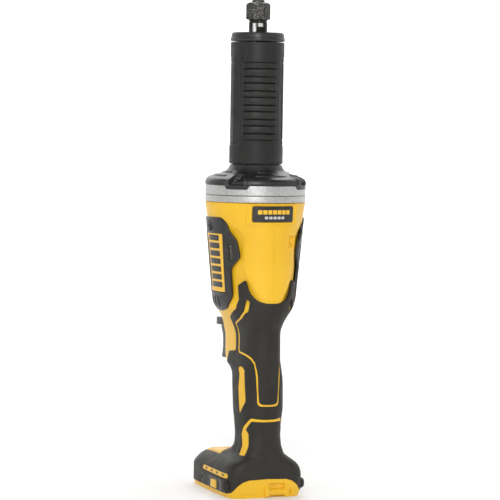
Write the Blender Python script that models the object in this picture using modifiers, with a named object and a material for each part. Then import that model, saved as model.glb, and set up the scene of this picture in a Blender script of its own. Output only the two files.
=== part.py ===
"""Cordless die grinder, standing on its battery foot with the collet up.

Frame: +Z runs up the spindle, +Y is the back of the tool (label side), -Y the trigger side and +X the tool's left
side. Lengths below are millimetres measured from the spindle axis and from the underside of the foot.
"""

import math

import bmesh
import bpy
from mathutils import Matrix, Vector

MM = 0.001
AXIS_Y = 12.2  # from the middle of the bounding box to the spindle axis

# Driving dimensions
TOP_Z = 396.0
HEX_AF = 17.0
SHANK_R = 3.18
SPINDLE_R = 7.5
SLEEVE_R, SLEEVE_BORE = 21.5, 17.1
SLEEVE_Z0, SLEEVE_Z1 = 264.7, 361.8
RING_R, RING_BORE = 40.25, 28.0
RING_Z0, RING_SEAM, RING_Z1 = 234.5, 240.05, 248.0
WALL = 2.8
SKIN_GAP, SKIN = 0.25, 1.35
SCREW_RING = 34.5
GRIP_GROOVES = 10
SLEEVE_TURN = 14.5  # middle of the rear ribbed panel, in degrees from the back towards +X
HEX_TURN = 16.0  # middle of the nearest flat of the nut, counted the same way
FLATS_TURN = -9.5  # turn of the wrench flats about Z

# Body sections: height, half width at the back, half width at the front, front depth, back depth, roundness
SECTIONS = [
    (0, 31.5, 26.0, 63.5, 33.0, 7),
    (6, 33.0, 26.5, 65.0, 34.0, 7),
    (17, 33.0, 26.5, 65.0, 34.3, 7),
    (21.5, 32.5, 24.5, 63.5, 34.2, 6.5),
    (25.5, 30.5, 21.0, 61.0, 33.9, 6),
    (28.5, 27.5, 17.5, 56.5, 33.9, 5),
    (31, 24.3, 15.5, 42.0, 34.0, 4),
    (33.5, 21.5, 16.0, 22.0, 34.0, 3.2),
    (37, 18.6, 17.6, 11.5, 34.1, 2.7),
    (42, 17.0, 17.0, 8.0, 34.2, 2.5),
    (50, 16.7, 16.7, 8.5, 33.5, 2.4),
    (60, 17.3, 17.3, 9.8, 33.7, 2.4),
    (72, 18.4, 18.4, 11.0, 34.6, 2.4),
    (86, 18.3, 18.3, 13.0, 34.5, 2.45),
    (97, 17.5, 17.5, 15.6, 34.4, 2.6),
    (101, 17.2, 17.2, 21.5, 34.3, 2.6),
    (104.2, 17.0, 17.0, 29.5, 34.3, 2.7),
    (108, 16.2, 16.2, 35.0, 34.1, 2.8),
    (127, 16.0, 16.0, 37.0, 34.0, 2.8),
    (132, 17.0, 17.0, 39.5, 34.3, 2.6),
    (138.8, 21.0, 21.0, 39.5, 36.5, 2.3),
    (144.3, 25.2, 25.2, 39.0, 38.0, 2.2),
    (150.8, 30.0, 30.0, 38.8, 39.0, 2.0),
    (154.4, 31.7, 31.7, 39.0, 39.0, 2.0),
    (170.6, 33.6, 33.6, 39.4, 39.0, 2.0),
    (187, 35.3, 35.3, 39.6, 39.2, 2.0),
    (203, 36.8, 36.8, 39.8, 39.4, 2.0),
    (220, 38.3, 38.3, 40.0, 39.9, 2.0),
    (234.2, 40.15, 40.15, 40.15, 40.15, 2.0),
]
HALF_STEPS = 9


def lerp(a, b, k):
    return a + (b - a) * k


def section(z):
    """The outside section at height z, by straight interpolation of SECTIONS."""
    z = min(max(z, SECTIONS[0][0]), SECTIONS[-1][0])
    for low, high in zip(SECTIONS, SECTIONS[1:]):
        if z <= high[0]:
            k = (z - low[0]) / (high[0] - low[0])
            return [lerp(p, q, k) for p, q in zip(low[1:], high[1:])]


def inset(z):
    """How far the yellow housing lies inside the outside surface where the rubber covers it."""
    if z >= 152:
        return 0.0
    return 1.6 * min(1.0, (152 - z) / 10)


def surface_point(z, angle, grow):
    """Point of the housing surface grown outwards by grow. angle 0 is the back and pi the front."""
    back_w, front_w, front, back, power = section(z)
    grow = grow - inset(z)
    back_w, front_w, front, back = back_w + grow, front_w + grow, front + grow, back + grow
    s, c = math.sin(angle), math.cos(angle)
    x = back_w * math.copysign(abs(s) ** (2 / power), s)
    y = (back - front) / 2 + (back + front) / 2 * math.copysign(abs(c) ** (2 / power), c)
    x *= 1 + (front_w / back_w - 1) * (back - y) / (back + front)
    return x, y, z


# Materials
def material(name, colour, roughness, metallic):
    made = bpy.data.materials.new(name)
    made.use_nodes = True
    shader = made.node_tree.nodes["Principled BSDF"]
    shader.inputs["Base Color"].default_value = (*colour, 1)
    shader.inputs["Roughness"].default_value = roughness
    shader.inputs["Metallic"].default_value = metallic
    made.diffuse_color = (*colour, 1)
    return made


YELLOW = ((0.93, 0.56, 0.03), 0.4, 0.0)
RUBBER = ((0.035, 0.035, 0.035), 0.75, 0.0)
BLACK = ((0.03, 0.03, 0.032), 0.5, 0.0)
STEEL = ((0.55, 0.55, 0.56), 0.25, 1.0)
DARK_STEEL = ((0.12, 0.12, 0.12), 0.4, 1.0)
CAST = ((0.62, 0.63, 0.64), 0.45, 1.0)
COPPER = ((0.72, 0.35, 0.16), 0.35, 1.0)
BOARD = ((0.02, 0.16, 0.07), 0.5, 0.0)
GREY = ((0.35, 0.35, 0.36), 0.5, 0.0)
LENS = ((0.85, 0.88, 0.9), 0.1, 0.0)


class Builder:
    """Keeps the collections and the empty that stands for the spindle axis at the foot."""

    def __init__(self):
        for old in list(bpy.data.objects):
            bpy.data.objects.remove(old, do_unlink=True)
        self.parts = bpy.data.collections.new("die_grinder")
        self.cutters = bpy.data.collections.new("cutters")
        bpy.context.scene.collection.children.link(self.parts)
        bpy.context.scene.collection.children.link(self.cutters)
        self.cutters.hide_render = True
        self.frame = bpy.data.objects.new("spindle_frame", None)
        self.frame.location = (0, AXIS_Y * MM, 0)
        self.parts.objects.link(self.frame)

    def place(self, name, data, look, origin=(0, 0, 0)):
        """Links a part, or a cutter when look is None, at origin in the spindle frame."""
        made = bpy.data.objects.new(name, data)
        made.parent = self.frame
        made.location = Vector(origin) * MM
        if look is None:
            self.cutters.objects.link(made)
            made.hide_render = True
            made.display_type = "WIRE"
        else:
            self.parts.objects.link(made)
            data.materials.append(material(name, *look))
        return made

    def from_bmesh(self, name, shape, look, origin=(0, 0, 0), smooth=None):
        bmesh.ops.recalc_face_normals(shape, faces=shape.faces[:])
        bmesh.ops.translate(shape, vec=-Vector(origin), verts=shape.verts[:])
        bmesh.ops.scale(shape, vec=(MM, MM, MM), verts=shape.verts[:])
        data = bpy.data.meshes.new(name)
        shape.to_mesh(data)
        shape.free()
        if smooth:
            data.shade_smooth()
            data.set_sharp_from_angle(angle=math.radians(smooth))
        return self.place(name, data, look, origin)

    def lathe(self, name, profile, look, steps=28, at=(0, 0), smooth=True, axis="Z", lift=0.0):
        """Turned solid. profile is (radius, height) down the outer side; it closes on itself unless it ends on
        the axis. The object's origin lies on the axis of the turning."""
        data = bpy.data.meshes.new(name)
        points = [(r * MM, 0, z * MM) for r, z in profile]
        closed = profile[0][0] > 0 and profile[-1][0] > 0
        edges = [(k, k + 1) for k in range(len(points) - 1)] + ([(len(points) - 1, 0)] if closed else [])
        data.from_pydata(points, edges, [])
        made = self.place(name, data, look, (at[0], at[1], lift))
        turn = made.modifiers.new("turn", "SCREW")
        turn.axis = "Z"
        turn.steps = turn.render_steps = steps
        turn.use_merge_vertices = True
        turn.merge_threshold = 0.00001
        turn.use_smooth_shade = smooth
        if axis == "X":
            made.rotation_euler = (0, math.pi / 2, 0)
        elif axis == "-X":
            made.rotation_euler = (0, -math.pi / 2, 0)
        return made

    def prism(self, name, outline, low, high, along, look, bevel=0.0, origin=(0, 0, 0)):
        """An outline drawn in the two other axes and pushed from low to high along X, Y or Z."""
        order = {"X": lambda a, b, t: (t, a, b), "Y": lambda a, b, t: (a, t, b), "Z": lambda a, b, t: (a, b, t)}
        shape = bmesh.new()
        rings = [[shape.verts.new(order[along](a, b, t)) for a, b in outline] for t in (low, high)]
        count = len(outline)
        for k in range(count):
            n = (k + 1) % count
            shape.faces.new((rings[0][k], rings[0][n], rings[1][n], rings[1][k]))
        shape.faces.new(rings[0])
        shape.faces.new(list(reversed(rings[1])))
        made = self.from_bmesh(name, shape, look, origin)
        if bevel:
            soften(made, bevel)
        return made

    def box(self, name, low, high, look, bevel=0.0, origin=(0, 0, 0)):
        shape = bmesh.new()
        bmesh.ops.create_cube(shape, size=1)
        size = Vector(high) - Vector(low)
        bmesh.ops.scale(shape, vec=size, verts=shape.verts[:])
        bmesh.ops.translate(shape, vec=Vector(low) + size / 2, verts=shape.verts[:])
        made = self.from_bmesh(name, shape, look, origin)
        if bevel:
            soften(made, bevel)
        return made

    def boxes(self, name, blocks):
        """One cutter of several boxes, each (low corner, high corner, turn about Z in degrees)."""
        shape = bmesh.new()
        for low, high, turn in blocks:
            size = Vector(high) - Vector(low)
            move = Matrix.Rotation(math.radians(turn), 4, "Z") @ Matrix.Translation(Vector(low) + size / 2)
            bmesh.ops.create_cube(shape, size=1, matrix=move @ Matrix.Diagonal((*size, 1)))
        return self.from_bmesh(name, shape, None)

    def rods(self, name, rods, segments=16):
        """One cutter of several round rods, each (start, end, radius)."""
        shape = bmesh.new()
        for start, end, radius in rods:
            line = Vector(end) - Vector(start)
            turn = Vector((0, 0, 1)).rotation_difference(line.normalized()).to_matrix().to_4x4()
            move = Matrix.Translation((Vector(start) + Vector(end)) / 2) @ turn
            bmesh.ops.create_cone(
                shape, cap_ends=True, segments=segments, radius1=radius, radius2=radius, depth=line.length, matrix=move
            )
        return self.from_bmesh(name, shape, None)

    def skin(self, name, side, inner, outer, look, low=0.0, high=234.2, drop=0.0, rise=0.0):
        """A wall that follows the housing surface, from inner to outer beyond it. side 1 or -1 is a half that
        stops short of the parting plane and 0 is the whole way round. On the flat top of the foot the outer face
        is raised by rise and the inner face lowered by drop."""
        heights = sorted({low, high, *[row[0] for row in SECTIONS if low < row[0] < high]})
        if side:
            angles = [math.pi * k / HALF_STEPS for k in range(HALF_STEPS + 1)]
        else:
            angles = [math.pi * k / HALF_STEPS for k in range(2 * HALF_STEPS)]
        shape = bmesh.new()
        walls = []
        for grow, lower in ((outer, -rise), (inner, drop)):
            rows = []
            for z in heights:
                up = lower * min(1.0, max(0.0, (46 - z) / 8)) * min(1.0, max(0.0, (z - 12) / 6))
                row = []
                for angle in angles:
                    x, y, _ = surface_point(z + up, angle, grow)
                    if side:
                        x = side * max(x, 0.15)
                    row.append(shape.verts.new((x, y, z)))
                rows.append(row)
            walls.append(rows)
        count = len(angles)
        spans = range(count - 1) if side else range(count)
        for rows in walls:
            for below, above in zip(rows, rows[1:]):
                for k in spans:
                    n = (k + 1) % count
                    # One diagonal everywhere keeps neighbouring walls parallel
                    shape.faces.new((below[k], below[n], above[n]))
                    shape.faces.new((below[k], above[n], above[k]))
        for level in (0, -1):
            out_row, in_row = walls[0][level], walls[1][level]
            for k in spans:
                n = (k + 1) % count
                shape.faces.new((out_row[k], out_row[n], in_row[n], in_row[k]))
        if side:
            for edge in (0, -1):
                for level in range(len(heights) - 1):
                    shape.faces.new(
                        (
                            walls[0][level][edge],
                            walls[0][level + 1][edge],
                            walls[1][level + 1][edge],
                            walls[1][level][edge],
                        )
                    )
        return self.from_bmesh(name, shape, look, smooth=35 if look else None)

    def spring(self, name, start, end, radius, wire, turns, look):
        """A coil spring along Y."""
        data = bpy.data.curves.new(name, "CURVE")
        data.dimensions = "3D"
        data.bevel_depth = wire * MM
        data.bevel_resolution = 0
        data.use_fill_caps = True
        steps = turns * 7
        line = data.splines.new("POLY")
        line.points.add(steps)
        for k, point in enumerate(line.points):
            angle = 2 * math.pi * k / 7
            where = (radius * math.cos(angle), lerp(0, end[1] - start[1], k / steps), radius * math.sin(angle))
            point.co = (*[v * MM for v in where], 1)
        return self.place(name, data, look, start)


def soften(made, width, segments=2):
    bevel = made.modifiers.new("soften", "BEVEL")
    bevel.width = width * MM
    bevel.segments = segments
    bevel.limit_method = "ANGLE"
    bevel.angle_limit = math.radians(40)


def boolean(made, cutter, operation="DIFFERENCE"):
    step = made.modifiers.new(f"{operation.lower()}_{cutter.name}"[:60], "BOOLEAN")
    step.operation = operation
    step.solver = "EXACT"
    step.object = cutter
    return made


def around(radius, degrees):
    """Point at this radius, with the angle measured from the back towards +X."""
    a = math.radians(degrees)
    return radius * math.sin(a), radius * math.cos(a)


def working_end(b):
    cone_top, cone_bottom = 387.0, 372.0
    b.lathe(
        "spindle",
        [(0, 350), (3.4, 350), (3.4, 371), (3.9, cone_bottom), (5.2, cone_top), (5.7, cone_top), (5.7, 376.9),
         (SPINDLE_R, 376.9), (SPINDLE_R, 351.3), (5.0, 351.3), (5.0, 342.8), (6.2, 342.4), (6.2, 283.6),
         (5.0, 283.2), (5.0, 274), (4.0, 273.5), (4.0, 260.2), (0, 260.2)],
        STEEL, 18)
    flats = b.boxes("wrench_flats", [((-9, side, 369.9), (9, side + 3, 374.2), FLATS_TURN) for side in (6.2, -9.2)])
    boolean(bpy.data.objects["spindle"], flats)
    b.lathe(
        "collet",
        [(4.9, TOP_Z), (4.9, 390), (5.6, 389.1), (5.6, 387.7), (5.0, 387.1), (3.72, 372.6), (SHANK_R, 372.6),
         (SHANK_R, TOP_Z)],
        DARK_STEEL, 24)
    slots = b.boxes("collet_slots", [((-0.4, 0, 370), (0.4, 7, 385), turn) for turn in (15, 135, 255)])
    boolean(bpy.data.objects["collet"], slots)
    b.lathe(
        "collet_nut",
        [(8.3, 394), (9.95, 392.5), (9.95, 381.4), (8.6, 380.6), (7.8, 380.3), (7.5, 377.2), (5.9, 377.2),
         (5.9, 389.4), (5.15, 390.3), (5.15, 394)],
        DARK_STEEL, 24)
    corner = HEX_AF / math.sqrt(3)
    turns = [math.pi * k / 3 - math.radians(HEX_TURN) for k in range(6)]
    hexagon = [(corner * math.cos(a), corner * math.sin(a)) for a in turns]
    boolean(bpy.data.objects["collet_nut"], b.prism("hexagon", hexagon, 370, 400, "Z", None), "INTERSECT")
    for name, low in (("spindle_bearing_front", 343.1), ("spindle_bearing_mid", 275.1)):
        b.lathe(name, [(13.0, low + 7.8), (13.0, low), (5.1, low), (5.1, low + 7.8)], STEEL, 24)
    b.lathe("shaft_coupling", [(7.5, 268), (7.5, 252), (4.15, 252), (4.15, 268)], STEEL, 20)
    b.lathe(
        "neck_tube",
        [(16.8, 361.5), (16.8, 254), (19, 251.6), (29.5, 250.6), (29.5, 248.3), (13.15, 248.3), (13.15, 283.2),
         (11.4, 283.2), (11.4, 342.8), (13.15, 342.8), (13.15, 361.5)],
        CAST, 22)
    b.lathe(
        "nose_cap",
        [(19.4, 369.6), (20.9, 368.9), (21.6, 367.3), (21.6, 363.2), (21.3, 362.1), (8.3, 362.1), (8.0, 363),
         (8.0, 368.9), (8.7, 369.6)],
        BLACK, 24)


def grip_sleeve(b):
    """Rubber sleeve: plain bands at both ends, two ribbed panels, two side panels and drawn-in lands between."""
    count = 24
    low_rib, high_rib = 276.5, 350.5
    pitch = (high_rib - low_rib) / GRIP_GROOVES
    rows = [(SLEEVE_Z0, "neck"), (266.2, "full"), (271.5, "full"), (272.2, "rib")]
    for k in range(GRIP_GROOVES):
        z = low_rib + pitch * (k + 0.5)
        rows += [(z - pitch * 0.28, "rib"), (z, "groove")]
    rows += [(354.4, "rib"), (355, "full"), (SLEEVE_Z1, "edge")]
    radii = {"neck": 20.6, "full": SLEEVE_R, "edge": SLEEVE_R - 0.6, "rib": SLEEVE_R, "groove": SLEEVE_R - 1.1}
    shape = bmesh.new()
    outer = []
    for z, kind in rows:
        ring = []
        for k in range(count):
            degrees = 360 * (k + 0.5) / count
            off_panel = abs((degrees - SLEEVE_TURN + 90) % 180 - 90)
            plain = 37 < off_panel < 67
            r = radii[kind] - (1.0 if plain and kind in ("rib", "groove") else 0)
            if plain and kind == "groove":
                r += 1.1
            x, y = around(r, degrees)
            ring.append(shape.verts.new((x, y, z)))
        outer.append(ring)
    bore = [[shape.verts.new((*around(SLEEVE_BORE, 360 * (k + 0.5) / count), z)) for k in range(count)]
            for z in (SLEEVE_Z0, SLEEVE_Z1)]
    strips = list(zip(outer, outer[1:])) + [(outer[0], bore[0]), (outer[-1], bore[1]), (bore[0], bore[1])]
    for below, above in strips:
        for k in range(count):
            n = (k + 1) % count
            shape.faces.new((below[k], below[n], above[n], above[k]))
    b.from_bmesh("grip_sleeve", shape, RUBBER, smooth=25)


def flange_and_rings(b):
    bosses = [around(SCREW_RING, a) for a in (45, 135, 225, 315)]
    holes = b.rods("flange_screw_holes", [((x, y, 230), (x, y, 262), 1.9) for x, y in bosses], 8)
    tabs = []
    notches = []
    for turn in (45, 135, 225, 315):
        tabs.append(((-6.5, 37.6, 245.0), (6.5, 40.0, 249.5), turn))
        notches.append(((-6.9, 37.2, 244.6), (6.9, 42, 249), turn))
    flange = b.lathe(
        "vent_flange",
        [(20.4, 264.4), (21.9, 261.2), (24.4, 258.6), (28.6, 256.9), (37.4, 253.7), (40.0, 251.4), (40.0, 248.3),
         (37.5, 248.3), (37.2, 250.7), (26, 254.6), (17.15, 259.5), (17.15, 264.4)],
        BLACK, 24)
    posts = b.rods("flange_posts", [((x, y, 248.3), (x, y, 254.2), 4.5) for x, y in bosses], 8)
    boolean(flange, posts, "UNION")
    boolean(flange, b.boxes("flange_tabs", tabs), "UNION")
    recess = b.rods("flange_recesses", [((x, y, 253.0), (x, y, 262), 3.7) for x, y in bosses], 10)
    boolean(flange, recess)
    boolean(flange, holes)
    slots = []
    for turn in (0, 90, 180, 270):
        slots.append(((-9, 25, 255.9), (9, 33.2, 257.0), turn))
        slots.append(((-11, 31, 253.4), (11, 38, 254.4), turn))
    boolean(flange, b.boxes("vent_slots", slots))
    for k, (x, y) in enumerate(bosses):
        b.lathe(
            f"flange_screw_{k + 1}",
            [(0, 255.4), (1.8, 255.4), (3.0, 254.7), (3.0, 253.3), (1.6, 253.3), (1.6, 237), (0, 237)],
            DARK_STEEL, 10, at=(x, y))
    front = b.lathe(
        "ring_front",
        [(RING_R - 0.5, RING_Z1), (RING_R, RING_Z1 - 0.5), (RING_R, RING_SEAM + 0.45), (RING_R - 0.3, RING_SEAM + 0.15),
         (RING_BORE, RING_SEAM + 0.15), (RING_BORE, RING_Z1)],
        CAST, 24)
    rear = b.lathe(
        "ring_rear",
        [(RING_R - 0.3, RING_SEAM - 0.15), (RING_R, RING_SEAM - 0.45), (RING_R, RING_Z0), (36.9, RING_Z0),
         (36.9, 236.4), (9.75, 236.4), (9.75, RING_SEAM - 0.15)],
        CAST, 24)
    boolean(front, b.boxes("ring_notches", notches))
    boolean(front, holes)
    boolean(rear, holes)


def motor(b):
    b.lathe("rotor_shaft", [(0, 259.8), (4.0, 259.8), (4.0, 163.6), (0, 163.6)], STEEL, 20)
    b.lathe("rotor_core", [(16, 221), (16, 181), (4.15, 181), (4.15, 221)], GREY, 24)
    for name, low in (("rotor_bearing_front", 234.8), ("rotor_bearing_rear", 164.7)):
        b.lathe(name, [(9.5, low + 5), (9.5, low), (4.1, low), (4.1, low + 5)], STEEL, 20)
    fan = b.lathe("fan", [(8, 234.4), (8, 231.2), (27, 231.2), (27, 230), (4.15, 230), (4.15, 234.4)], BLACK, 24)
    blades = b.boxes("fan_blades", [((-0.7, 7, 230.6), (0.7, 26.5, 234.2), 360 * k / 7 + 4) for k in range(7)])
    boolean(fan, blades, "UNION")
    outline = []
    for k in range(36):
        outline.append(around(30, 10 * k))
    stator = b.prism("stator", outline, 180, 222, "Z", GREY)
    slots = []
    for k in range(6):
        for degrees in (-20, -7, 7, 20):
            slots.append(around(16.7 if abs(degrees) > 10 else 25, 60 * k + 30 + degrees))
    boolean(stator, b.prism("stator_slots", slots, 175, 227, "Z", None))
    for name, low in (("winding_front", 222.4), ("winding_rear", 173.4)):
        b.lathe(name, [(24, low + 6.2), (27, low + 4), (27, low), (18, low), (18, low + 4), (20, low + 6.2)],
                COPPER, 18)
    b.lathe("sensor_board", [(26, 172.8), (26, 171.2), (9.9, 171.2), (9.9, 172.8)], BOARD, 24)
    b.lathe("motor_end_plate", [(28.5, 170.6), (28.5, 165), (9.75, 165), (9.75, 170.6)], GREY, 24)


# Side outlines, (y, z)
GRIP_OUTLINE = [
    (-75, 3.4), (22, 3.4), (28, 4.2), (31, 8), (33, 13.6), (50, 14.4), (50, 72.3), (33, 72.5), (31.4, 77),
    (30.3, 97), (28.6, 103.5), (23.6, 109.5), (12.5, 112), (8, 113.2), (6.8, 116), (6.8, 132), (8, 135.6),
    (21, 141.6), (28, 147.5), (29.8, 152), (30.6, 158), (31.6, 166), (30.2, 172), (28.5, 172.6), (25.4, 169.7),
    (25.6, 165), (24.6, 157), (16.4, 146.6), (5.7, 142.5), (2.2, 136.5), (1.6, 128.3), (2.3, 122), (0.4, 115),
    (-12, 113.6), (-14.5, 110), (-17, 104), (-24, 99.5), (-75, 99),
]
BACK_PAD_OUTLINE = [
    (50, 74.8), (50, 154.9), (38.3, 155.4), (35.5, 158.4), (33.4, 163), (32.8, 158), (32.2, 152), (30, 146),
    (23, 140.5), (11, 135), (9.3, 131.5), (9.3, 117), (13.5, 114.8), (25, 112.3), (31, 104.8), (32.5, 97.4),
    (33.4, 77.5), (34, 75),
]
LOWER_STRIPE = [
    (50, 63.2), (30, 62.8), (22.5, 56.5), (21.2, 52), (22.3, 35), (27.4, 35), (26.5, 52.5), (29, 58.5),
    (33.4, 61), (50, 61.3),
]
WEDGE = [(10.8, 103.4), (17.7, 102.5), (21.3, 98.9), (24.6, 66.3), (17.4, 65.5), (13.2, 91.6)]
PANEL_OUTLINE = [
    (-20, 222.2), (15.2, 222.6), (20.1, 218.2), (20.9, 212.7), (26.7, 205.1), (28.4, 192.1), (27.1, 189.3),
    (20.6, 182.3), (20.4, 159.8), (13.2, 150.4), (2.4, 147.4), (-8, 147.4), (-17, 150.4), (-24, 160),
    (-24.5, 213),
]
BADGE_OUTLINE = [(-17, 209.4), (15, 209.4), (13.4, 163), (-15, 163)]
STRIP_OUTLINE = [(-29, 16.0), (26, 15.6), (28, 17.2), (26.5, 19.4), (-29, 19.4)]
SPEED_PANEL_OUTLINE = [(-16, 3.9), (18, 3.9), (18, 12.8), (-16, 12.8)]
BUTTON_OUTLINE = [(-7, 4.9), (6, 4.9), (6, 11.2), (-7, 11.2)]
BUMPER = (26.2, 9.8, 3.9, 4.2)  # centre y, centre z, half width, half height
LIGHT_PLATE = [(-11, -16.5), (-12.5, -53), (-8, -57.5), (8, -57.5), (12.5, -53), (11, -16.5)]


def grown(outline, by):
    """The outline pushed outwards by this much, corner by corner."""
    area = sum(a[0] * c[1] - c[0] * a[1] for a, c in zip(outline, outline[1:] + outline[:1]))
    turn = 1 if area > 0 else -1
    made = []
    for k, here in enumerate(outline):
        before, after = Vector(outline[k - 1]), Vector(outline[(k + 1) % len(outline)])
        here = Vector(here)
        normals = []
        for line in ((here - before).normalized(), (after - here).normalized()):
            normals.append(Vector((line.y, -line.x)) * turn)
        middle = (normals[0] + normals[1]).normalized()
        made.append(tuple(here + middle * (by / max(0.5, middle.dot(normals[0])))))
    return made


def oval(y, z, wide, high, by=0.0):
    return [
        (y + (wide + by) * math.cos(math.pi * k / 5), z + (high + by) * math.sin(math.pi * k / 5)) for k in range(10)
    ]


def housings(b):
    opening = [
        (-9.7, 104.7), (9.7, 104.7), (9.7, 131.5), (12.5, 131.5), (12.5, 138.7), (-12.5, 138.7), (-12.5, 131.5),
        (-9.7, 131.5),
    ]
    window = b.prism("trigger_window", opening, -55, -21, "Y", None)
    rail_mouth = b.boxes("battery_mouth", [((-21.5, -80, -5), (21.5, -45, 12.5), 0)])
    label_pocket = b.skin("label_pocket", 0, -1.5, 4, None, 205, 234.2)
    frame = [(-21.5, 217.5), (21.8, 217.5), (22.6, 233.2), (-22.3, 233.2)]
    boolean(label_pocket, b.prism("label_pocket_outline", frame, 5, 60, "Y", None), "INTERSECT")
    for side, name in ((1, "left"), (-1, "right")):
        housing = b.skin(f"housing_{name}", side, -WALL, 0, YELLOW, drop=2.4)
        boolean(housing, window)
        boolean(housing, rail_mouth)
        boolean(housing, label_pocket)
        holes = [((side * 20, -1, 215.2), (side * 50, -1, 215.2), 1.8)]
        if side > 0:
            holes.append(((15, -32.6, 8.9), (45, -32.6, 8.9), 1.7))
            button_hole = b.prism("button_hole", grown(BUTTON_OUTLINE, 0.4), 10, 50, "X", None)
            boolean(housing, button_hole)
        boolean(housing, b.rods(f"housing_screw_holes_{name}", holes, 12))
    label = b.skin("back_label", 0, -1.25, -0.35, BLACK, 205, 234.2)
    plate = [(-17.5, 219.9), (17.6, 219.9), (18.2, 221), (18.2, 231), (17.6, 232), (-17.5, 232), (-18.1, 231),
             (-18.1, 221)]
    boolean(label, b.prism("label_outline", plate, 5, 60, "Y", None), "INTERSECT")


def skins(b):
    outer = SKIN_GAP + SKIN
    for side, name in ((1, "left"), (-1, "right")):
        low, high = (0.0, 60.0) if side > 0 else (-60.0, 0.0)

        def outline(title, points):
            return b.prism(f"{title}_{name}", points, low, high, "X", None)

        grip = b.skin(f"side_grip_{name}", side, SKIN_GAP, outer, RUBBER, 2.0, 187, drop=-0.35, rise=1.6)
        boolean(grip, outline("grip_outline", GRIP_OUTLINE), "INTERSECT")
        boolean(grip, outline("lower_stripe", LOWER_STRIPE))
        boolean(grip, outline("wedge", WEDGE))
        boolean(grip, bpy.data.objects["battery_mouth"])
        plate = grown(LIGHT_PLATE, 0.4)
        boolean(grip, b.prism(f"light_hole_{name}", plate, 22, 60, "Z", None))
        bumper_y, bumper_z, wide, tall = BUMPER
        boolean(grip, outline("bumper_hole", oval(bumper_y, bumper_z, wide, tall, 0.35)))
        if side > 0:
            boolean(grip, outline("strip_hole", grown(STRIP_OUTLINE, 0.3)))
            boolean(grip, outline("speed_hole", grown(SPEED_PANEL_OUTLINE, 0.3)))
            boolean(grip, b.rods("foot_screw_hole", [((15, -32.6, 8.9), (45, -32.6, 8.9), 3.5)], 16))
        pad = b.skin(f"back_grip_{name}", side, SKIN_GAP, outer, RUBBER, 60, 187)
        boolean(pad, outline("pad_outline", BACK_PAD_OUTLINE), "INTERSECT")
        bumper = b.skin(f"foot_bumper_{name}", side, SKIN_GAP, 3.6, RUBBER, 0, 25.5)
        boolean(bumper, outline("bumper_outline", oval(bumper_y, bumper_z, wide, tall)), "INTERSECT")
        panel = b.skin(f"side_panel_{name}", side, SKIN_GAP, outer, BLACK, 140, 228)
        boolean(panel, outline("panel_outline", PANEL_OUTLINE), "INTERSECT")
        head = b.rods(f"panel_screw_head_{name}", [((side * 20, -1, 215.2), (side * 50, -1, 215.2), 3.2)], 16)
        boolean(panel, head)
        grille = b.boxes(
            f"panel_grille_{name}",
            [((min(low, high), y - 1.2, 151.5), (max(low, high), y + 1.2, 158.5), 0) for y in (-9, -3, 3)],
        )
        boolean(panel, grille)
        badge = b.skin(f"badge_{name}", side, outer + 0.25, outer + 1.0, YELLOW, 150, 222)
        boolean(badge, outline("badge_outline", BADGE_OUTLINE), "INTERSECT")
        b.lathe(
            f"panel_screw_{name}",
            [(0, 1.3), (2.0, 1.3), (2.8, 0.6), (2.8, 0), (1.5, 0), (1.5, -5), (0, -5)],
            DARK_STEEL, 10, at=(side * 38.5, -1), axis="X" if side > 0 else "-X", lift=215.2)
    strip = b.skin("speed_strip", 1, SKIN_GAP, outer, YELLOW, 6, 31)
    boolean(strip, b.prism("strip_outline", STRIP_OUTLINE, 0, 60, "X", None), "INTERSECT")
    windows = [((10, y - 3.4, 16.7), (60, y + 3.4, 18.7), 0) for y in (-21, -7.5, 6, 19.5)]
    boolean(strip, b.boxes("strip_windows", windows))
    speed = b.skin("speed_panel", 1, SKIN_GAP, outer, BLACK, 0, 21.5)
    boolean(speed, b.prism("speed_outline", SPEED_PANEL_OUTLINE, 0, 60, "X", None), "INTERSECT")
    boolean(speed, b.prism("speed_button_hole", grown(BUTTON_OUTLINE, 0.4), 0, 60, "X", None))
    button = b.skin("speed_button", 1, -3.4, outer + 0.7, YELLOW, 0, 21.5)
    boolean(button, b.prism("button_outline", BUTTON_OUTLINE, 0, 60, "X", None), "INTERSECT")
    b.lathe(
        "foot_screw",
        [(0, 1.3), (2.2, 1.3), (3.0, 0.6), (3.0, 0), (1.4, 0), (1.4, -3.5), (0, -3.5)],
        DARK_STEEL, 10, at=(27.9, -32.6), axis="X", lift=8.9)
    bezel = b.skin("light_bezel", 0, SKIN_GAP, outer, YELLOW, 21.5, 33.5, drop=-0.35, rise=1.6)
    boolean(bezel, b.prism("bezel_outline", LIGHT_PLATE, 22, 60, "Z", None), "INTERSECT")
    pocket = [(-5.4, -51), (5.4, -51), (5.4, -41), (-5.4, -41)]
    boolean(bezel, b.prism("lens_hole", pocket, 20, 60, "Z", None))
    lens = b.skin("light_lens", 0, SKIN_GAP, outer + 0.2, LENS, 21.5, 33.5, drop=-0.35, rise=1.8)
    boolean(lens, b.prism("lens_outline", grown(pocket, -0.4), 20, 60, "Z", None), "INTERSECT")


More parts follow.
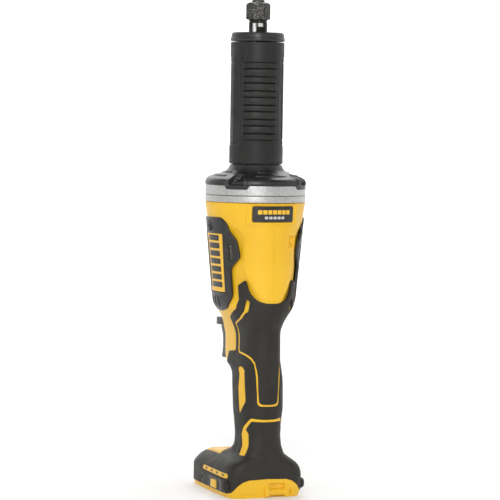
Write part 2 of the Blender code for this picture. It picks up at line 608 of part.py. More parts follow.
def controls(b):
    trigger = [
        (-29, 105.3), (-42.0, 105.3), (-43.4, 106.6), (-42.2, 111), (-41.3, 118), (-42.6, 124.5), (-45.6, 130.2),
        (-45.4, 131.2), (-29, 131.2),
    ]
    b.prism("trigger", trigger, -9.2, 9.2, "X", BLACK, 0.8, origin=(0, -29, 118))
    b.box("lock_button", (-12, -49.5, 131.9), (12, -30, 138.2), BLACK, 0.8, origin=(0, -30, 135))
    b.box("switch_module", (-9, -19, 105), (9, 6, 139), GREY, 0.8)
    b.spring("trigger_spring", (0, -28.6, 118), (0, -19.9, 118), 3.2, 0.4, 4, STEEL)
    b.spring("lock_spring", (0, -29.6, 135), (0, -19.9, 135), 2.2, 0.35, 4, STEEL)
    b.box("control_module", (-9, 2, 52), (9, 23, 96), GREY, 1.0)
    rail = [
        (-21, 2), (-21, 16), (21, 16), (21, 2), (16, 2), (16, 5), (19, 5), (19, 13.5), (-19, 13.5), (-19, 5),
        (-16, 5), (-16, 2),
    ]
    b.prism("battery_rails", rail, -47, 24, "Y", BLACK)
    b.box("terminal_block", (-14, -10, 6.5), (14, 22, 13.2), BLACK, 0.6)
    for k, x in enumerate((-9, 0, 9)):
        b.box(f"contact_{k + 1}", (x - 0.4, -30, 7.4), (x + 0.4, -10.3, 12.4), COPPER)


def main():
    b = Builder()
    working_end(b)
    grip_sleeve(b)
    flange_and_rings(b)
    motor(b)
    housings(b)
    skins(b)
    controls(b)


main()
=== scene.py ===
"""Looks of the cordless die grinder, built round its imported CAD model.

Lengths below are millimetres in the tool's own frame: z up from the underside of the foot, y towards the back
of the tool (label side) and x towards its left side, both measured from the spindle axis. put() turns them
into metres in the frame of the CAD.
"""

import math

import bmesh
import bpy
import numpy as np
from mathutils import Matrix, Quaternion, Vector
from mathutils.geometry import delaunay_2d_cdt


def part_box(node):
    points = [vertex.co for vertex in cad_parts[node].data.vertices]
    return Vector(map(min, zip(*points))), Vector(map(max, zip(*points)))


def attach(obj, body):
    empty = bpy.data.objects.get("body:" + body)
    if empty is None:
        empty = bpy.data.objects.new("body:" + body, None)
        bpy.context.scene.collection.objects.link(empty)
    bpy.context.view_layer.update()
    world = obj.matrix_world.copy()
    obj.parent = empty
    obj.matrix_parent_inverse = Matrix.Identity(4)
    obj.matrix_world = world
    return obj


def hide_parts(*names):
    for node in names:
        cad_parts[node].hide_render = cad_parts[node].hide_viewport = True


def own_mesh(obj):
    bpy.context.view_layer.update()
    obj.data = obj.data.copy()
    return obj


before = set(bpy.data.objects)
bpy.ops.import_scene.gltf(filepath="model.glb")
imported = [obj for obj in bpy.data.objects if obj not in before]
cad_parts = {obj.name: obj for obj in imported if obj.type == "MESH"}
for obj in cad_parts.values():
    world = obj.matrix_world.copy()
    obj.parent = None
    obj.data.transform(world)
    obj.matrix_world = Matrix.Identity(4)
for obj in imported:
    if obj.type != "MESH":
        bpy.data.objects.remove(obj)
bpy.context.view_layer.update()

MM = 0.001
spindle_low, spindle_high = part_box("spindle")
AXIS = Vector(((spindle_low.x + spindle_high.x) / 2, (spindle_low.y + spindle_high.y) / 2, 0))
TOP_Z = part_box("collet")[1].z / MM
RING_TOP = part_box("ring_front")[1].z / MM
RING_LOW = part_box("ring_rear")[0].z / MM
RING_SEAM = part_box("ring_front")[0].z / MM - 0.15
RING_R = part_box("ring_front")[1].x / MM
SLEEVE_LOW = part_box("grip_sleeve")[0].z / MM
SLEEVE_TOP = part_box("grip_sleeve")[1].z / MM
BODY_TOP = RING_LOW - 0.3
SLEEVE_R, SLEEVE_BORE = 21.5, 17.2
WALL = 2.8
FLATS_LOW, FLATS_TOP = 369.3, 373.8  # heights of the ends of the wrench flats
HEX_TURN, SLEEVE_TURN = 21.0, 14.5  # degrees the nut and the sleeve are turned by
SIDES = ((1, "left"), (-1, "right"))
TINY, FAR = 1e-9, 1e9
RAISED_FROM, RAISED_TO = 142.0, 152.0  # heights between which the rubber comes to stand proud

# Body sections: height, half width at the back, half width at the front, front depth, back depth, roundness
SECTIONS = np.array([
    (0, 32.5, 27.0, 64.5, 34.0, 7),
    (6, 34.0, 27.5, 66.0, 35.0, 7),
    (17, 34.0, 27.5, 66.0, 35.3, 7),
    (21.5, 33.5, 25.5, 64.5, 35.2, 6.5),
    (25.5, 31.5, 22.0, 62.0, 34.9, 6),
    (28.5, 28.5, 18.5, 57.5, 34.7, 5),
    (31, 25.0, 16.2, 42.5, 34.4, 4),
    (33.5, 21.5, 16.0, 22.0, 34.0, 3.2),
    (37, 18.6, 17.6, 11.5, 34.1, 2.7),
    (42, 17.0, 17.0, 8.0, 34.2, 2.5),
    (50, 16.7, 16.7, 8.5, 33.5, 2.4),
    (60, 17.3, 17.3, 9.8, 33.7, 2.4),
    (72, 18.4, 18.4, 11.0, 34.6, 2.4),
    (86, 18.3, 18.3, 13.0, 34.5, 2.45),
    (97, 17.5, 17.5, 15.6, 34.4, 2.6),
    (101, 17.2, 17.2, 21.5, 34.3, 2.6),
    (104.2, 17.0, 17.0, 29.5, 34.3, 2.7),
    (108, 16.2, 16.2, 35.0, 34.1, 2.8),
    (127, 16.0, 16.0, 37.0, 34.0, 2.8),
    (132, 17.0, 17.0, 39.5, 34.3, 2.6),
    (138.8, 20.4, 20.4, 39.5, 36.5, 2.3),
    (144.3, 24.2, 24.2, 39.0, 38.0, 2.2),
    (150.8, 28.7, 28.7, 38.8, 39.0, 2.0),
    (154.4, 30.4, 30.4, 39.0, 39.0, 2.0),
    (170.6, 32.4, 32.4, 39.4, 39.0, 2.0),
    (187, 34.2, 34.2, 39.6, 39.2, 2.0),
    (203, 35.8, 35.8, 39.8, 39.4, 2.0),
    (220, 37.8, 37.8, 40.0, 39.9, 2.0),
    (234.2, 40.15, 40.15, 40.15, 40.15, 2.0),
])


# Numbers and outlines
def ramp(values, start, end):
    """0 before start, 1 after end and smooth between."""
    k = np.clip((np.asarray(values, float) - start) / (end - start), 0, 1)
    return k * k * (3 - 2 * k)


def smooth_rows(z):
    """SECTIONS at the heights z, on a curve with no overshoot between the rows."""
    knots = SECTIONS[:, 0]
    gaps = np.diff(knots)
    made = []
    for column in SECTIONS[:, 1:].T:
        slopes = np.diff(column) / gaps
        tangents = np.zeros(len(knots))
        tangents[0], tangents[-1] = slopes[0], slopes[-1]
        for k in range(1, len(knots) - 1):
            if slopes[k - 1] * slopes[k] > 0:
                a, b = 2 * gaps[k] + gaps[k - 1], gaps[k] + 2 * gaps[k - 1]
                tangents[k] = (a + b) / (a / slopes[k - 1] + b / slopes[k])
        k = np.clip(np.searchsorted(knots, z, side="right") - 1, 0, len(gaps) - 1)
        t = (z - knots[k]) / gaps[k]
        made.append(
            (1 + 2 * t) * (1 - t) ** 2 * column[k] + t * (1 - t) ** 2 * gaps[k] * tangents[k]
            + t * t * (3 - 2 * t) * column[k + 1] + t * t * (t - 1) * gaps[k] * tangents[k + 1]
        )
    return np.array(made).T


CORNER_POINTS = 5


def soft_corners(outline, reach, steps=CORNER_POINTS):
    """The outline with each corner turned into a curve that starts at most this far from it."""
    made = []
    count = len(outline)
    for k, here in enumerate(outline):
        here = Vector(here)
        ends = []
        for other in (outline[k - 1], outline[(k + 1) % count]):
            way = Vector(other) - here
            ends.append(here + way.normalized() * min(reach, way.length * 0.45))
        for t in np.linspace(0, 1, steps):
            made.append(tuple(ends[0] * (1 - t) ** 2 + here * 2 * t * (1 - t) + ends[1] * t * t))
    return made


def rectangle(a_low, a_high, b_low, b_high):
    return [(a_low, b_low), (a_high, b_low), (a_high, b_high), (a_low, b_high)]


def grown(outline, by):
    """The outline pushed outwards by this much, corner by corner."""
    area = sum(a[0] * c[1] - c[0] * a[1] for a, c in zip(outline, outline[1:] + outline[:1]))
    turn = 1 if area > 0 else -1
    made = []
    for k, here in enumerate(outline):
        before, after = Vector(outline[k - 1]), Vector(outline[(k + 1) % len(outline)])
        here = Vector(here)
        normals = []
        for line in ((here - before).normalized(), (after - here).normalized()):
            normals.append(Vector((line.y, -line.x)) * turn)
        middle = (normals[0] + normals[1]).normalized()
        made.append(tuple(here + middle * (by / max(0.5, middle.dot(normals[0])))))
    return made


def run_along(a, b):
    """Length of the line through these places, up to each of them."""
    return np.concatenate([[0], np.cumsum(np.hypot(np.diff(a), np.diff(b)))])


def turns(count):
    """Angles of this many equal steps round a circle."""
    return [2 * math.pi * k / count for k in range(count)]


def oval(a, b, wide, high):
    return [(a + wide * math.cos(t), b + high * math.sin(t)) for t in turns(28)]


def inside(points, loop):
    """Which of the points lie inside the closed loop."""
    x, y = points[:, 0], points[:, 1]
    hit = np.zeros(len(points), bool)
    for (ax, ay), (bx, by) in zip(loop, np.roll(loop, -1, axis=0)):
        if ay == by:
            continue
        crosses = (ay > y) != (by > y)
        hit ^= crosses & (x < (bx - ax) * (y - ay) / (by - ay) + ax)
    return hit


def distances(points, starts, ends):
    """Distance of each point in space from the nearest of the straight pieces."""
    nearest = np.full(len(points), FAR)
    line = ends - starts
    length = np.maximum((line**2).sum(1), 1e-12)
    for part in range(0, len(points) if len(starts) else 0, 2000):
        some = points[part:part + 2000, None, :] - starts[None]
        k = np.clip((some * line[None]).sum(2) / length[None], 0, 1)
        nearest[part:part + 2000] = np.sqrt(((some - k[..., None] * line[None]) ** 2).sum(2)).min(1)
    return nearest


def from_loop(points, line):
    """Distance of each point from a closed line."""
    return distances(points, line, np.roll(line, -1, axis=0))


class Surface:
    """A surface as a grid of points. w runs round it and v up it. Look-ups between points are straight."""

    def __init__(self, w, v, points, mirrored):
        self.w, self.v, self.points, self.mirrored = w, v, points, mirrored
        across = np.gradient(points, w, axis=1)
        up = np.gradient(points, v, axis=0)
        normals = np.cross(up, across)
        if mirrored:
            normals[:, 0, 0] = normals[:, -1, 0] = 0
            across[:, 0, 1] = across[:, -1, 1] = 0
        self.normals = normals / np.maximum(np.linalg.norm(normals, axis=2, keepdims=True), TINY)
        self.metric = np.stack([np.linalg.norm(across, axis=2), np.linalg.norm(up, axis=2)], axis=2)

    def look_up(self, grid, places):
        w = np.abs(places[:, 0]) if self.mirrored else places[:, 0]
        i = np.clip(np.interp(w, self.w, np.arange(len(self.w))), 0, len(self.w) - 1.001)
        j = np.clip(np.interp(places[:, 1], self.v, np.arange(len(self.v))), 0, len(self.v) - 1.001)
        i0, j0 = i.astype(int), j.astype(int)
        a, b = (i - i0)[:, None], (j - j0)[:, None]
        low = grid[j0, i0] * (1 - a) + grid[j0, i0 + 1] * a
        high = grid[j0 + 1, i0] * (1 - a) + grid[j0 + 1, i0 + 1] * a
        found = low * (1 - b) + high * b
        if self.mirrored and grid is not self.metric:
            found[:, 0] *= np.where(places[:, 0] < 0, -1, 1)
        return found

    def at(self, places):
        return self.look_up(self.points, places)


class Shell(Surface):
    """The outside of the body. w is 0 on the back seam, 1 on the front seam by the left side and -1 by the
    right side, and v is the length up the front."""

    def __init__(self):
        fine = np.arange(0, BODY_TOP + 0.05, 0.1)
        front = smooth_rows(fine)[:, 2]
        climb = run_along(fine, front)
        v = np.linspace(0, climb[-1], int(climb[-1] / 0.4))
        self.z = np.interp(v, climb, fine)
        w = np.linspace(0, 1, 241)
        turn = np.linspace(0, math.pi, 1201)
        points = np.zeros((len(v), len(w), 3))
        for k, (height, row) in enumerate(zip(self.z, smooth_rows(self.z))):
            x, y = self.outline(row, turn)
            length = run_along(x, y)
            points[k, :, 0] = np.interp(w * length[-1], length, x)
            points[k, :, 1] = np.interp(w * length[-1], length, y)
            points[k, :, 2] = height
        points[:, 0, 0] = points[:, -1, 0] = 0
        super().__init__(w, v, points, True)

    def outline(self, row, turn):
        back_w, front_w, front, back, power = row
        deep = (back + front) / 2
        s, c = np.sin(turn), np.cos(turn)
        reach = ((np.abs(s) / back_w) ** power + (np.abs(c) / deep) ** power) ** (-1 / power)
        y = (back - front) / 2 + reach * c
        x = reach * s * (1 + (front_w / back_w - 1) * (back - y) / (back + front))
        return x, y

    def row(self, z):
        """v at this height, and the x and y of the section there."""
        j = min(float(np.interp(z, self.z, np.arange(len(self.z)))), len(self.z) - 1.001)
        low, k = int(j), j - int(j)
        points = self.points[low] * (1 - k) + self.points[low + 1] * k
        return float(np.interp(z, self.z, self.v)), points[:, 0], points[:, 1]

    def side(self, outline, side):
        """Loop of places from an outline drawn in y and z on the left (1) or right (-1) side."""
        made = []
        for y, z in outline:
            v, _, ys = self.row(z)
            made.append((side * float(np.interp(-y, -ys, self.w)), v))
        return np.array(made)

    def across(self, outline, back):
        """Loop of places from an outline drawn in x and z on the back or the front."""
        made = []
        for x, z in outline:
            v, xs, _ = self.row(z)
            widest = int(np.argmax(xs))
            part = slice(widest + 1) if back else slice(None, widest - 1, -1)
            made.append((math.copysign(float(np.interp(abs(x), xs[part], self.w[part])), x), v))
        return np.array(made)

    def top(self, x, y):
        """Height of the top of the foot over each place."""
        x, y = np.atleast_1d(x).astype(float)[:, None], np.atleast_1d(y).astype(float)[:, None]
        heights = np.arange(22, 45, 0.05)
        back_w, front_w, front, back, power = smooth_rows(heights).T
        deep = (back + front) / 2
        wide = back_w * (1 + (front_w / back_w - 1) * (back - y) / (back + front))
        over = (np.abs(x) / wide) ** power + (np.abs(y - (back - front) / 2) / deep) ** power - 1
        k = np.clip((over < 0).sum(1), 1, len(heights) - 1)
        rows = np.arange(len(k))
        before, after = over[rows, k - 1], over[rows, k]
        return heights[k - 1] + 0.05 * np.clip(before / np.minimum(before - after, -TINY), 0, 1)


def resample(surface, loop, step):
    """The loop with points added until none are further apart than step, and none doubled."""
    points = surface.at(loop)
    made = []
    for k in range(len(loop)):
        n = (k + 1) % len(loop)
        gap = np.linalg.norm(points[n] - points[k])
        if gap < 0.02:
            continue
        count = max(1, math.ceil(gap / step))
        for t in range(count):
            made.append(loop[k] + (loop[n] - loop[k]) * t / count)
    return np.array(made)


def beside(surface, loop, by):
    """The loop's points moved by this many millimetres to its inner side."""
    metric = surface.look_up(surface.metric, loop)
    ahead, behind = np.roll(loop, -1, axis=0), np.roll(loop, 1, axis=0)
    way = (ahead - behind) * metric
    way /= np.maximum(np.linalg.norm(way, axis=1, keepdims=True), TINY)
    area = (loop[:, 0] * ahead[:, 1] - ahead[:, 0] * loop[:, 1]).sum()
    normal = np.stack([-way[:, 1], way[:, 0]], axis=1) * (1 if area > 0 else -1)
    return loop + normal * by / metric


def on_seam(surface, loop):
    """Whether each straight piece of the loop runs along the parting plane."""
    if not surface.mirrored:
        return np.zeros(len(loop), bool)
    edge = (np.abs(loop[:, 0]) < 1e-5) | (np.abs(loop[:, 0]) > 1 - 1e-5)
    return edge & np.roll(edge, -1)


def patch(surface, outer, holes=(), steps=(), top=0.0, bottom=-1.0, edge=0.9, seam=0.25, spacing=1.7,
          dense=None):
    """A closed skin on the surface. outer and holes are loops of places. steps are (loop, softness, height):
    inside the loop the skin is that much higher. top is a height, or a function of points and places. edge
    and seam are the roundings of its border. dense is (low w, high w, low z, high z, spacing) of a finer
    area."""
    loops = [resample(surface, loop, 0.8) for loop in (outer, *holes)]
    starts = np.concatenate([surface.at(loop) for loop in loops])
    ends = np.concatenate([np.roll(surface.at(loop), -1, axis=0) for loop in loops])
    seams = np.concatenate([on_seam(surface, loop) for loop in loops])
    stepped = [resample(surface, loop, max(0.6, soft * 0.4)) for loop, soft, _ in steps]

    def within(places):
        kept = inside(places, loops[0])
        for loop in loops[1:]:
            kept &= ~inside(places, loop)
        return kept

    def border(points):
        return [distances(points, starts[kind], ends[kind]) for kind in (~seams, seams)]

    # Lines of points beside the border, the steps and the parting plane, each with its least distance
    # from the border
    extra = []
    for k, loop in enumerate(loops):
        for share in (0.12, 0.35, 0.65, 1.0):
            way = edge * share if k == 0 else -edge * share
            extra.append((beside(surface, loop, way), edge * share * 0.85))
    for loop, (_, soft, _) in zip(stepped, steps):
        extra += [(beside(surface, loop, soft * share), edge * 1.1) for share in (-1, -0.5, 0, 0.5, 1)]
    sign = np.sign(loops[0][np.argmax(np.abs(loops[0][:, 0])), 0])
    for line in (loop[on_seam(surface, loop)] for loop in loops):
        if len(line):
            middle = sign if np.median(np.abs(line[:, 0])) < 0.5 else -sign
            scale = surface.look_up(surface.metric, line)[:, 0]
            for by in (seam * 0.4, seam, seam * 2.2):
                extra.append((np.stack([line[:, 0] + middle * by / scale, line[:, 1]], axis=1), -1))
    places = []
    for ring, least in extra:
        ring = ring[within(ring)]
        if least > 0 and len(ring):
            ring = ring[border(surface.at(ring))[0] > least]
        places.append(ring)

    low, high = loops[0].min(0), loops[0].max(0)
    width = surface.look_up(surface.metric, ((low + high) / 2)[None])[0, 0]
    areas = [(low[0], high[0], low[1], high[1], spacing, spacing)]
    if dense:
        w0, w1, z0, z1, fine = dense
        v0, v1 = np.interp((z0, z1), surface.z, surface.v)
        areas.append((max(w0, low[0]), min(w1, high[0]), max(v0, low[1]), min(v1, high[1]), 1.6, fine))
    for k, (w0, w1, v0, v1, apart, fine) in enumerate(areas):
        cols, rows = max(2, int((w1 - w0) * width / apart)), max(2, int((v1 - v0) / fine))
        grid = np.meshgrid(np.linspace(w0, w1, cols + 1), np.linspace(v0, v1, rows + 1))
        grid = np.stack(grid, -1).reshape(-1, 2)
        grid = grid[within(grid)]
        for a0, a1, b0, b1, _, _ in areas[k + 1:]:
            grid = grid[~((grid[:, 0] > a0) & (grid[:, 0] < a1) & (grid[:, 1] > b0) & (grid[:, 1] < b1))]
        points = surface.at(grid)
        plain, middle = border(points)
        kept = (plain > edge * 1.3) & (middle > seam * 2.6)
        for loop, (_, soft, _) in zip(stepped, steps):
            kept &= from_loop(points, surface.at(loop)) > soft * 1.2
        places.append(grid[kept])

    fixed, at = [], 0
    for loop in loops:
        fixed += [(at + k, at + (k + 1) % len(loop)) for k in range(len(loop))]
        at += len(loop)
    scaled = np.concatenate([*loops, *places]) * (width, 1.0)
    verts, _, faces, _, _, _ = delaunay_2d_cdt([Vector(p) for p in scaled], fixed, [], 0, 1e-5)
    flat = np.array([tuple(p) for p in verts]) / (width, 1.0)
    faces = np.array([face for face in faces if len(face) == 3])
    faces = faces[within(flat[faces].mean(1))]
    used, faces = np.unique(faces, return_inverse=True)
    flat, faces = flat[used], faces.reshape(-1, 3)

    base, normal = surface.at(flat), surface.look_up(surface.normals, flat)
    height = top(base, flat) if callable(top) else np.full(len(flat), float(top))
    for loop, (_, soft, by) in zip(stepped, steps):
        near = from_loop(base, surface.at(loop))
        height = height + by * ramp(np.where(inside(flat, loop), near, -near), -soft, soft)
    for near, radius in zip(border(base), (edge, seam)):
        k = 1 - np.clip(near / radius, 0, 1)
        height = height - radius * (1 - np.sqrt(1 - k * k))
    under = np.minimum(bottom, height - 0.15)
    return closed(base + normal * height[:, None], base + normal * under[:, None], faces)


def closed(upper, lower, faces):
    """Both sides of a skin and the walls along its open edges."""
    pairs = np.concatenate([faces[:, [0, 1]], faces[:, [1, 2]], faces[:, [2, 0]]])
    key = np.sort(pairs, axis=1)
    _, first, counts = np.unique(key, axis=0, return_index=True, return_counts=True)
    rim = pairs[first[counts == 1]]
    n = len(upper)
    walls = [(b, a, a + n, b + n) for a, b in rim]
    made = [tuple(face) for face in faces] + [tuple(face[::-1] + n) for face in faces] + walls
    return np.concatenate([upper, lower]), made


def put(name, verts, faces, look, body="housing", stands_for=(), slot=None, sharp=38):
    """Makes a piece of the object from points in millimetres, and ties it to its body."""
    shape = bmesh.new()
    made = [shape.verts.new(Vector(p) * MM + AXIS) for p in verts]
    for face in faces:
        corners = [made[k] for k in face]
        if len(set(corners)) > 2 and not shape.faces.get(corners):
            shape.faces.new(corners)
    bmesh.ops.remove_doubles(shape, verts=shape.verts[:], dist=1e-6)
    return finish_piece(name, shape, look, body, stands_for, sharp)


def to_data(name, shape):
    data = bpy.data.meshes.new(name)
    shape.to_mesh(data)
    shape.free()
    data.shade_smooth()
    return data


def linked(name, data):
    made = bpy.data.objects.new(name, data)
    bpy.context.scene.collection.objects.link(made)
    return made


def finish_piece(name, shape, look, body, stands_for, sharp=38):
    bmesh.ops.recalc_face_normals(shape, faces=shape.faces[:])
    data = to_data(name, shape)
    data.set_sharp_from_angle(angle=math.radians(sharp))
    data.materials.append(look)
    piece = linked(name, data)
    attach(piece, body)
    if stands_for:
        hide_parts(*stands_for)
    return piece


def grid_faces(rows, cols, closed_rows=True):
    """Faces of a grid of points whose columns close round, and whose rows close round too if asked."""
    made = []
    for j in range(rows if closed_rows else rows - 1):
        here, above = j * cols, (j + 1) % rows * cols
        made += [(here + k, here + (k + 1) % cols, above + (k + 1) % cols, above + k) for k in range(cols)]
    return made


def tube_faces(rows, cols, caps=2):
    """Faces of a tube from its rings of points, with its ends closed."""
    ends = [tuple(range(cols)), tuple(range((rows - 1) * cols, rows * cols))[::-1]]
    return grid_faces(rows, cols, False) + ends[:caps]


def eased(profile, reach):
    """A closed profile with eased corners, and its long straight stretches cut up."""
    curve = soft_corners(profile, reach, 4)
    made = []
    for a, b in zip(curve, curve[1:] + curve[:1]):
        cuts = max(1, int(math.dist(a, b) / 3))
        made += [(a[0] + (b[0] - a[0]) * k / cuts, a[1] + (b[1] - a[1]) * k / cuts) for k in range(cuts)]
    return made


# Materials
class Look:
    """A Principled material built node by node, with every pattern taken from the object's own space."""

    def __init__(self, name, roughness=0.5, metallic=0.0, **values):
        self.material = bpy.data.materials.new(name)
        self.material.use_nodes = True
        self.tree = self.material.node_tree
        self.shader = self.tree.nodes["Principled BSDF"]
        for key, value in dict(Roughness=roughness, Metallic=metallic, **values).items():
            self.shader.inputs[key.replace("_", " ")].default_value = value
        self.where = self.add("TexCoord", "Object")
        self.bumped = None

    def add(self, kind, output, **inputs):
        """An output of a new node, with its inputs linked or set. A _ stands for a space in their names."""
        node = self.tree.nodes.new("ShaderNode" + kind)
        for key, value in inputs.items():
            self.feed(value, node.inputs[key.replace("_", " ")])
        return node.outputs[output]

    def feed(self, value, socket):
        if isinstance(value, bpy.types.NodeSocket):
            self.tree.links.new(value, socket)
        else:
            socket.default_value = value

    def noise(self, per_mm, detail=3.0, rough=0.5, scale=(1, 1, 1)):
        return self.add("TexNoise", "Fac", Scale=per_mm / MM, Detail=detail, Roughness=rough,
                        Vector=self.add("Mapping", "Vector", Scale=scale, Vector=self.where))

    def cells(self, per_mm):
        return self.add("TexVoronoi", "Distance", Scale=per_mm / MM,
                        Vector=self.add("Mapping", "Vector", Scale=(1, 1, 1), Vector=self.where))

    def spread(self, value, low, high, to_low=0.0, to_high=1.0):
        return self.add("MapRange", "Result", Value=value, From_Min=low, From_Max=high, To_Min=to_low,
                        To_Max=to_high)

    def colours(self, value, stops):
        made = self.add("ValToRGB", "Color", Fac=value)
        points = made.node.color_ramp.elements
        for point, (place, colour) in zip(points, (stops[0], stops[-1])):
            point.position, point.color = place, (*colour, 1)
        for place, colour in stops[1:-1]:
            points.new(place).color = (*colour, 1)
        return made

    def mix(self, factor, first, second):
        node = self.tree.nodes.new("ShaderNodeMix")
        node.data_type = "RGBA"
        self.feed(factor, node.inputs["Factor"])
        self.feed(first, node.inputs[6])
        self.feed((*second, 1) if isinstance(second, tuple) else second, node.inputs[7])
        return node.outputs[2]

    def colour(self, value):
        self.feed(value, self.shader.inputs["Base Color"])

    def rough(self, value):
        self.feed(value, self.shader.inputs["Roughness"])

    def bump(self, height, depth_mm, strength=1.0):
        under = {"Normal": self.bumped} if self.bumped else {}
        self.bumped = self.add("Bump", "Normal", Strength=strength, Distance=depth_mm * MM, Height=height,
                               **under)
        self.feed(self.bumped, self.shader.inputs["Normal"])


def moulded(name, dark, light, edge_colour, rough, grain, depth, **values):
    """Moulded plastic: spark-eroded grain, slow colour drift and sharp edges made paler in noisy patches."""
    look = Look(name, **values)
    base = look.colours(look.spread(look.noise(0.03, 2), 0.3, 0.7), [(0, dark), (1, light)])
    edge_patches = look.noise(0.35, 4, 0.65)
    edge_paling = look.tree.nodes.new("ShaderNodeMath")
    edge_paling.operation = "MULTIPLY"
    look.feed(look.spread(look.add("NewGeometry", "Pointiness"), 0.53, 0.62), edge_paling.inputs[0])
    look.feed(look.spread(edge_patches, 0.45, 0.75, 0, 0.55), edge_paling.inputs[1])
    look.colour(look.mix(edge_paling.outputs[0], base, edge_colour))
    look.rough(look.spread(look.noise(0.12, 4, 0.6), 0.35, 0.65, *rough))
    look.bump(look.noise(grain, 2, 0.6), depth, 0.6)
    return look.material


def metal(name, stops, rough, grain, depth, pits=0.0, scale=(1, 1, 1)):
    """Bare or blackened metal with a grain that scale can draw out into machining marks."""
    look = Look(name, metallic=1.0)
    pattern = look.noise(grain, 5, 0.62, scale)
    look.colour(look.colours(look.spread(pattern, 0.3, 0.7), stops))
    look.rough(look.spread(look.noise(grain * 0.4, 4, 0.6, scale), 0.3, 0.7, *rough))
    look.bump(pattern, depth, 0.7)
    if pits:
        look.bump(look.spread(look.cells(0.55), 0.05, 0.3), pits, 0.8)
    return look.material


def cast_metal(name):
    """Tumbled aluminium casting: a fine pebbled skin with dark pores and a few scuffs."""
    look = Look(name, metallic=1.0)
    skin = look.noise(1.1, 6, 0.7)
    greys = [(0, (0.34, 0.34, 0.335)), (0.45, (0.56, 0.56, 0.55)), (1, (0.74, 0.74, 0.73))]
    pores = look.spread(look.noise(1.9, 3, 0.5), 0.62, 0.7)
    look.colour(look.mix(pores, look.colours(look.spread(skin, 0.3, 0.72), greys), (0.1, 0.1, 0.1)))
    look.rough(look.spread(look.noise(0.5, 4, 0.6), 0.3, 0.7, 0.34, 0.55))
    look.bump(skin, 0.12, 0.7)
    look.bump(look.noise(3.2, 3, 0.6), 0.04, 0.6)
    return look.material


def steel_with_painted_reflections(name):
    """Ground steel with painted reflections: dark and bright bands at set turns round the axis stand in for
    the surroundings and lamps reflected in it, with one more bright band above the wrench flats.
    """
    look = Look(name, metallic=1.0)
    centred = look.add("Mapping", "Vector", Location=-AXIS, Vector=look.where)
    turn = look.add("TexGradient", "Fac", Vector=centred)
    turn.node.gradient_type = "RADIAL"
    # painted reflections: dark bands for dark surroundings and bright bands for the lamps, fixed at turns
    # round the spindle axis
    dark, painted_highlight = (0.03, 0.029, 0.027), (0.86, 0.86, 0.85)
    low = [(0, dark), (0.1, dark), (0.13, painted_highlight), (0.17, dark), (0.585, dark), (0.6, painted_highlight),
           (0.645, painted_highlight), (0.66, dark)]
    high = low + [(0.695, dark), (0.705, painted_highlight), (0.765, painted_highlight), (0.78, dark)]
    bands = [look.colours(turn, stops + [(1, dark)]) for stops in (low, high)]
    height = look.add("SeparateXYZ", "Z", Vector=centred)
    band = look.mix(look.spread(height, FLATS_TOP * MM, (FLATS_TOP + 0.25) * MM), *bands)
    streaks = look.noise(0.8, 5, 0.62, (1, 1, 14))
    look.colour(look.mix(look.spread(streaks, 0.6, 0.9, 0, 0.35), band, (0.4, 0.4, 0.39)))
    look.rough(look.spread(streaks, 0.3, 0.7, 0.12, 0.26))
    look.bump(streaks, 0.008, 0.7)
    return look.material


def wire_look(name, stops, pitch):
    """Enamelled wire laid side by side."""
    look = Look(name, roughness=0.3, metallic=0.9)
    look.colour(look.colours(look.spread(look.noise(0.5, 3), 0.3, 0.7), stops))
    look.bump(look.add("TexWave", "Fac", Scale=pitch / MM, Vector=look.where), 0.3, 0.8)
    return look.material


YELLOW = moulded("yellow_nylon", (0.86, 0.49, 0.012), (0.92, 0.535, 0.018), (1.0, 0.7, 0.16), (0.34, 0.46),
                 2.4, 0.03)
BADGE_YELLOW = moulded("printed_yellow", (0.88, 0.5, 0.03), (0.95, 0.56, 0.04), (1, 0.7, 0.2), (0.3, 0.4),
                       3.0, 0.01)
RUBBER = moulded("black_rubber", (0.0175, 0.0155, 0.012), (0.024, 0.021, 0.0165), (0.055, 0.05, 0.042),
                 (0.5, 0.66), 1.6, 0.06, Specular_IOR_Level=0.38)
SLEEVE = moulded("sleeve_rubber", (0.0125, 0.0122, 0.0114), (0.0178, 0.0172, 0.016), (0.045, 0.045, 0.042),
                 (0.42, 0.57), 1.8, 0.05, Specular_IOR_Level=0.36)
PANEL = moulded("panel_nylon", (0.017, 0.016, 0.015), (0.024, 0.023, 0.022), (0.08, 0.075, 0.07), (0.3, 0.42),
                2.8, 0.03)
BLACK = moulded("black_nylon", (0.013, 0.013, 0.014), (0.021, 0.021, 0.022), (0.075, 0.075, 0.075),
                (0.28, 0.4), 2.6, 0.03)
GREY = moulded("grey_nylon", (0.2, 0.2, 0.205), (0.27, 0.27, 0.275), (0.4, 0.4, 0.4), (0.4, 0.5), 2.2, 0.03)
PALE = moulded("pale_print", (0.55, 0.54, 0.52), (0.66, 0.65, 0.63), (0.8, 0.8, 0.8), (0.4, 0.5), 2.5, 0.01)
CAST = cast_metal("cast_aluminium_skin")
# steel whose colour bands round the spindle axis are painted reflections
POLISHED = steel_with_painted_reflections("ground_steel_painted_reflections")
FORGED = metal("blackened_steel",
               [(0, (0.022, 0.021, 0.019)), (0.55, (0.05, 0.048, 0.045)), (1, (0.2, 0.195, 0.185))],
               (0.3, 0.5), 0.75, 0.09, pits=0.03)
SCREW = metal("black_oxide", [(0, (0.05, 0.05, 0.05)), (1, (0.12, 0.12, 0.12))], (0.3, 0.45), 1.4, 0.03)
LAMINATED = metal("lamination_stack", [(0, (0.2, 0.2, 0.2)), (1, (0.42, 0.42, 0.43))], (0.35, 0.5), 0.3, 0.05,
                  scale=(0.1, 0.1, 9))
COPPER = wire_look("enamelled_copper", [(0, (0.52, 0.18, 0.06)), (1, (0.78, 0.34, 0.14))], 0.12)
CONTACT = metal("plated_contact", [(0, (0.6, 0.4, 0.22)), (1, (0.8, 0.58, 0.35))], (0.2, 0.35), 1.2, 0.01)
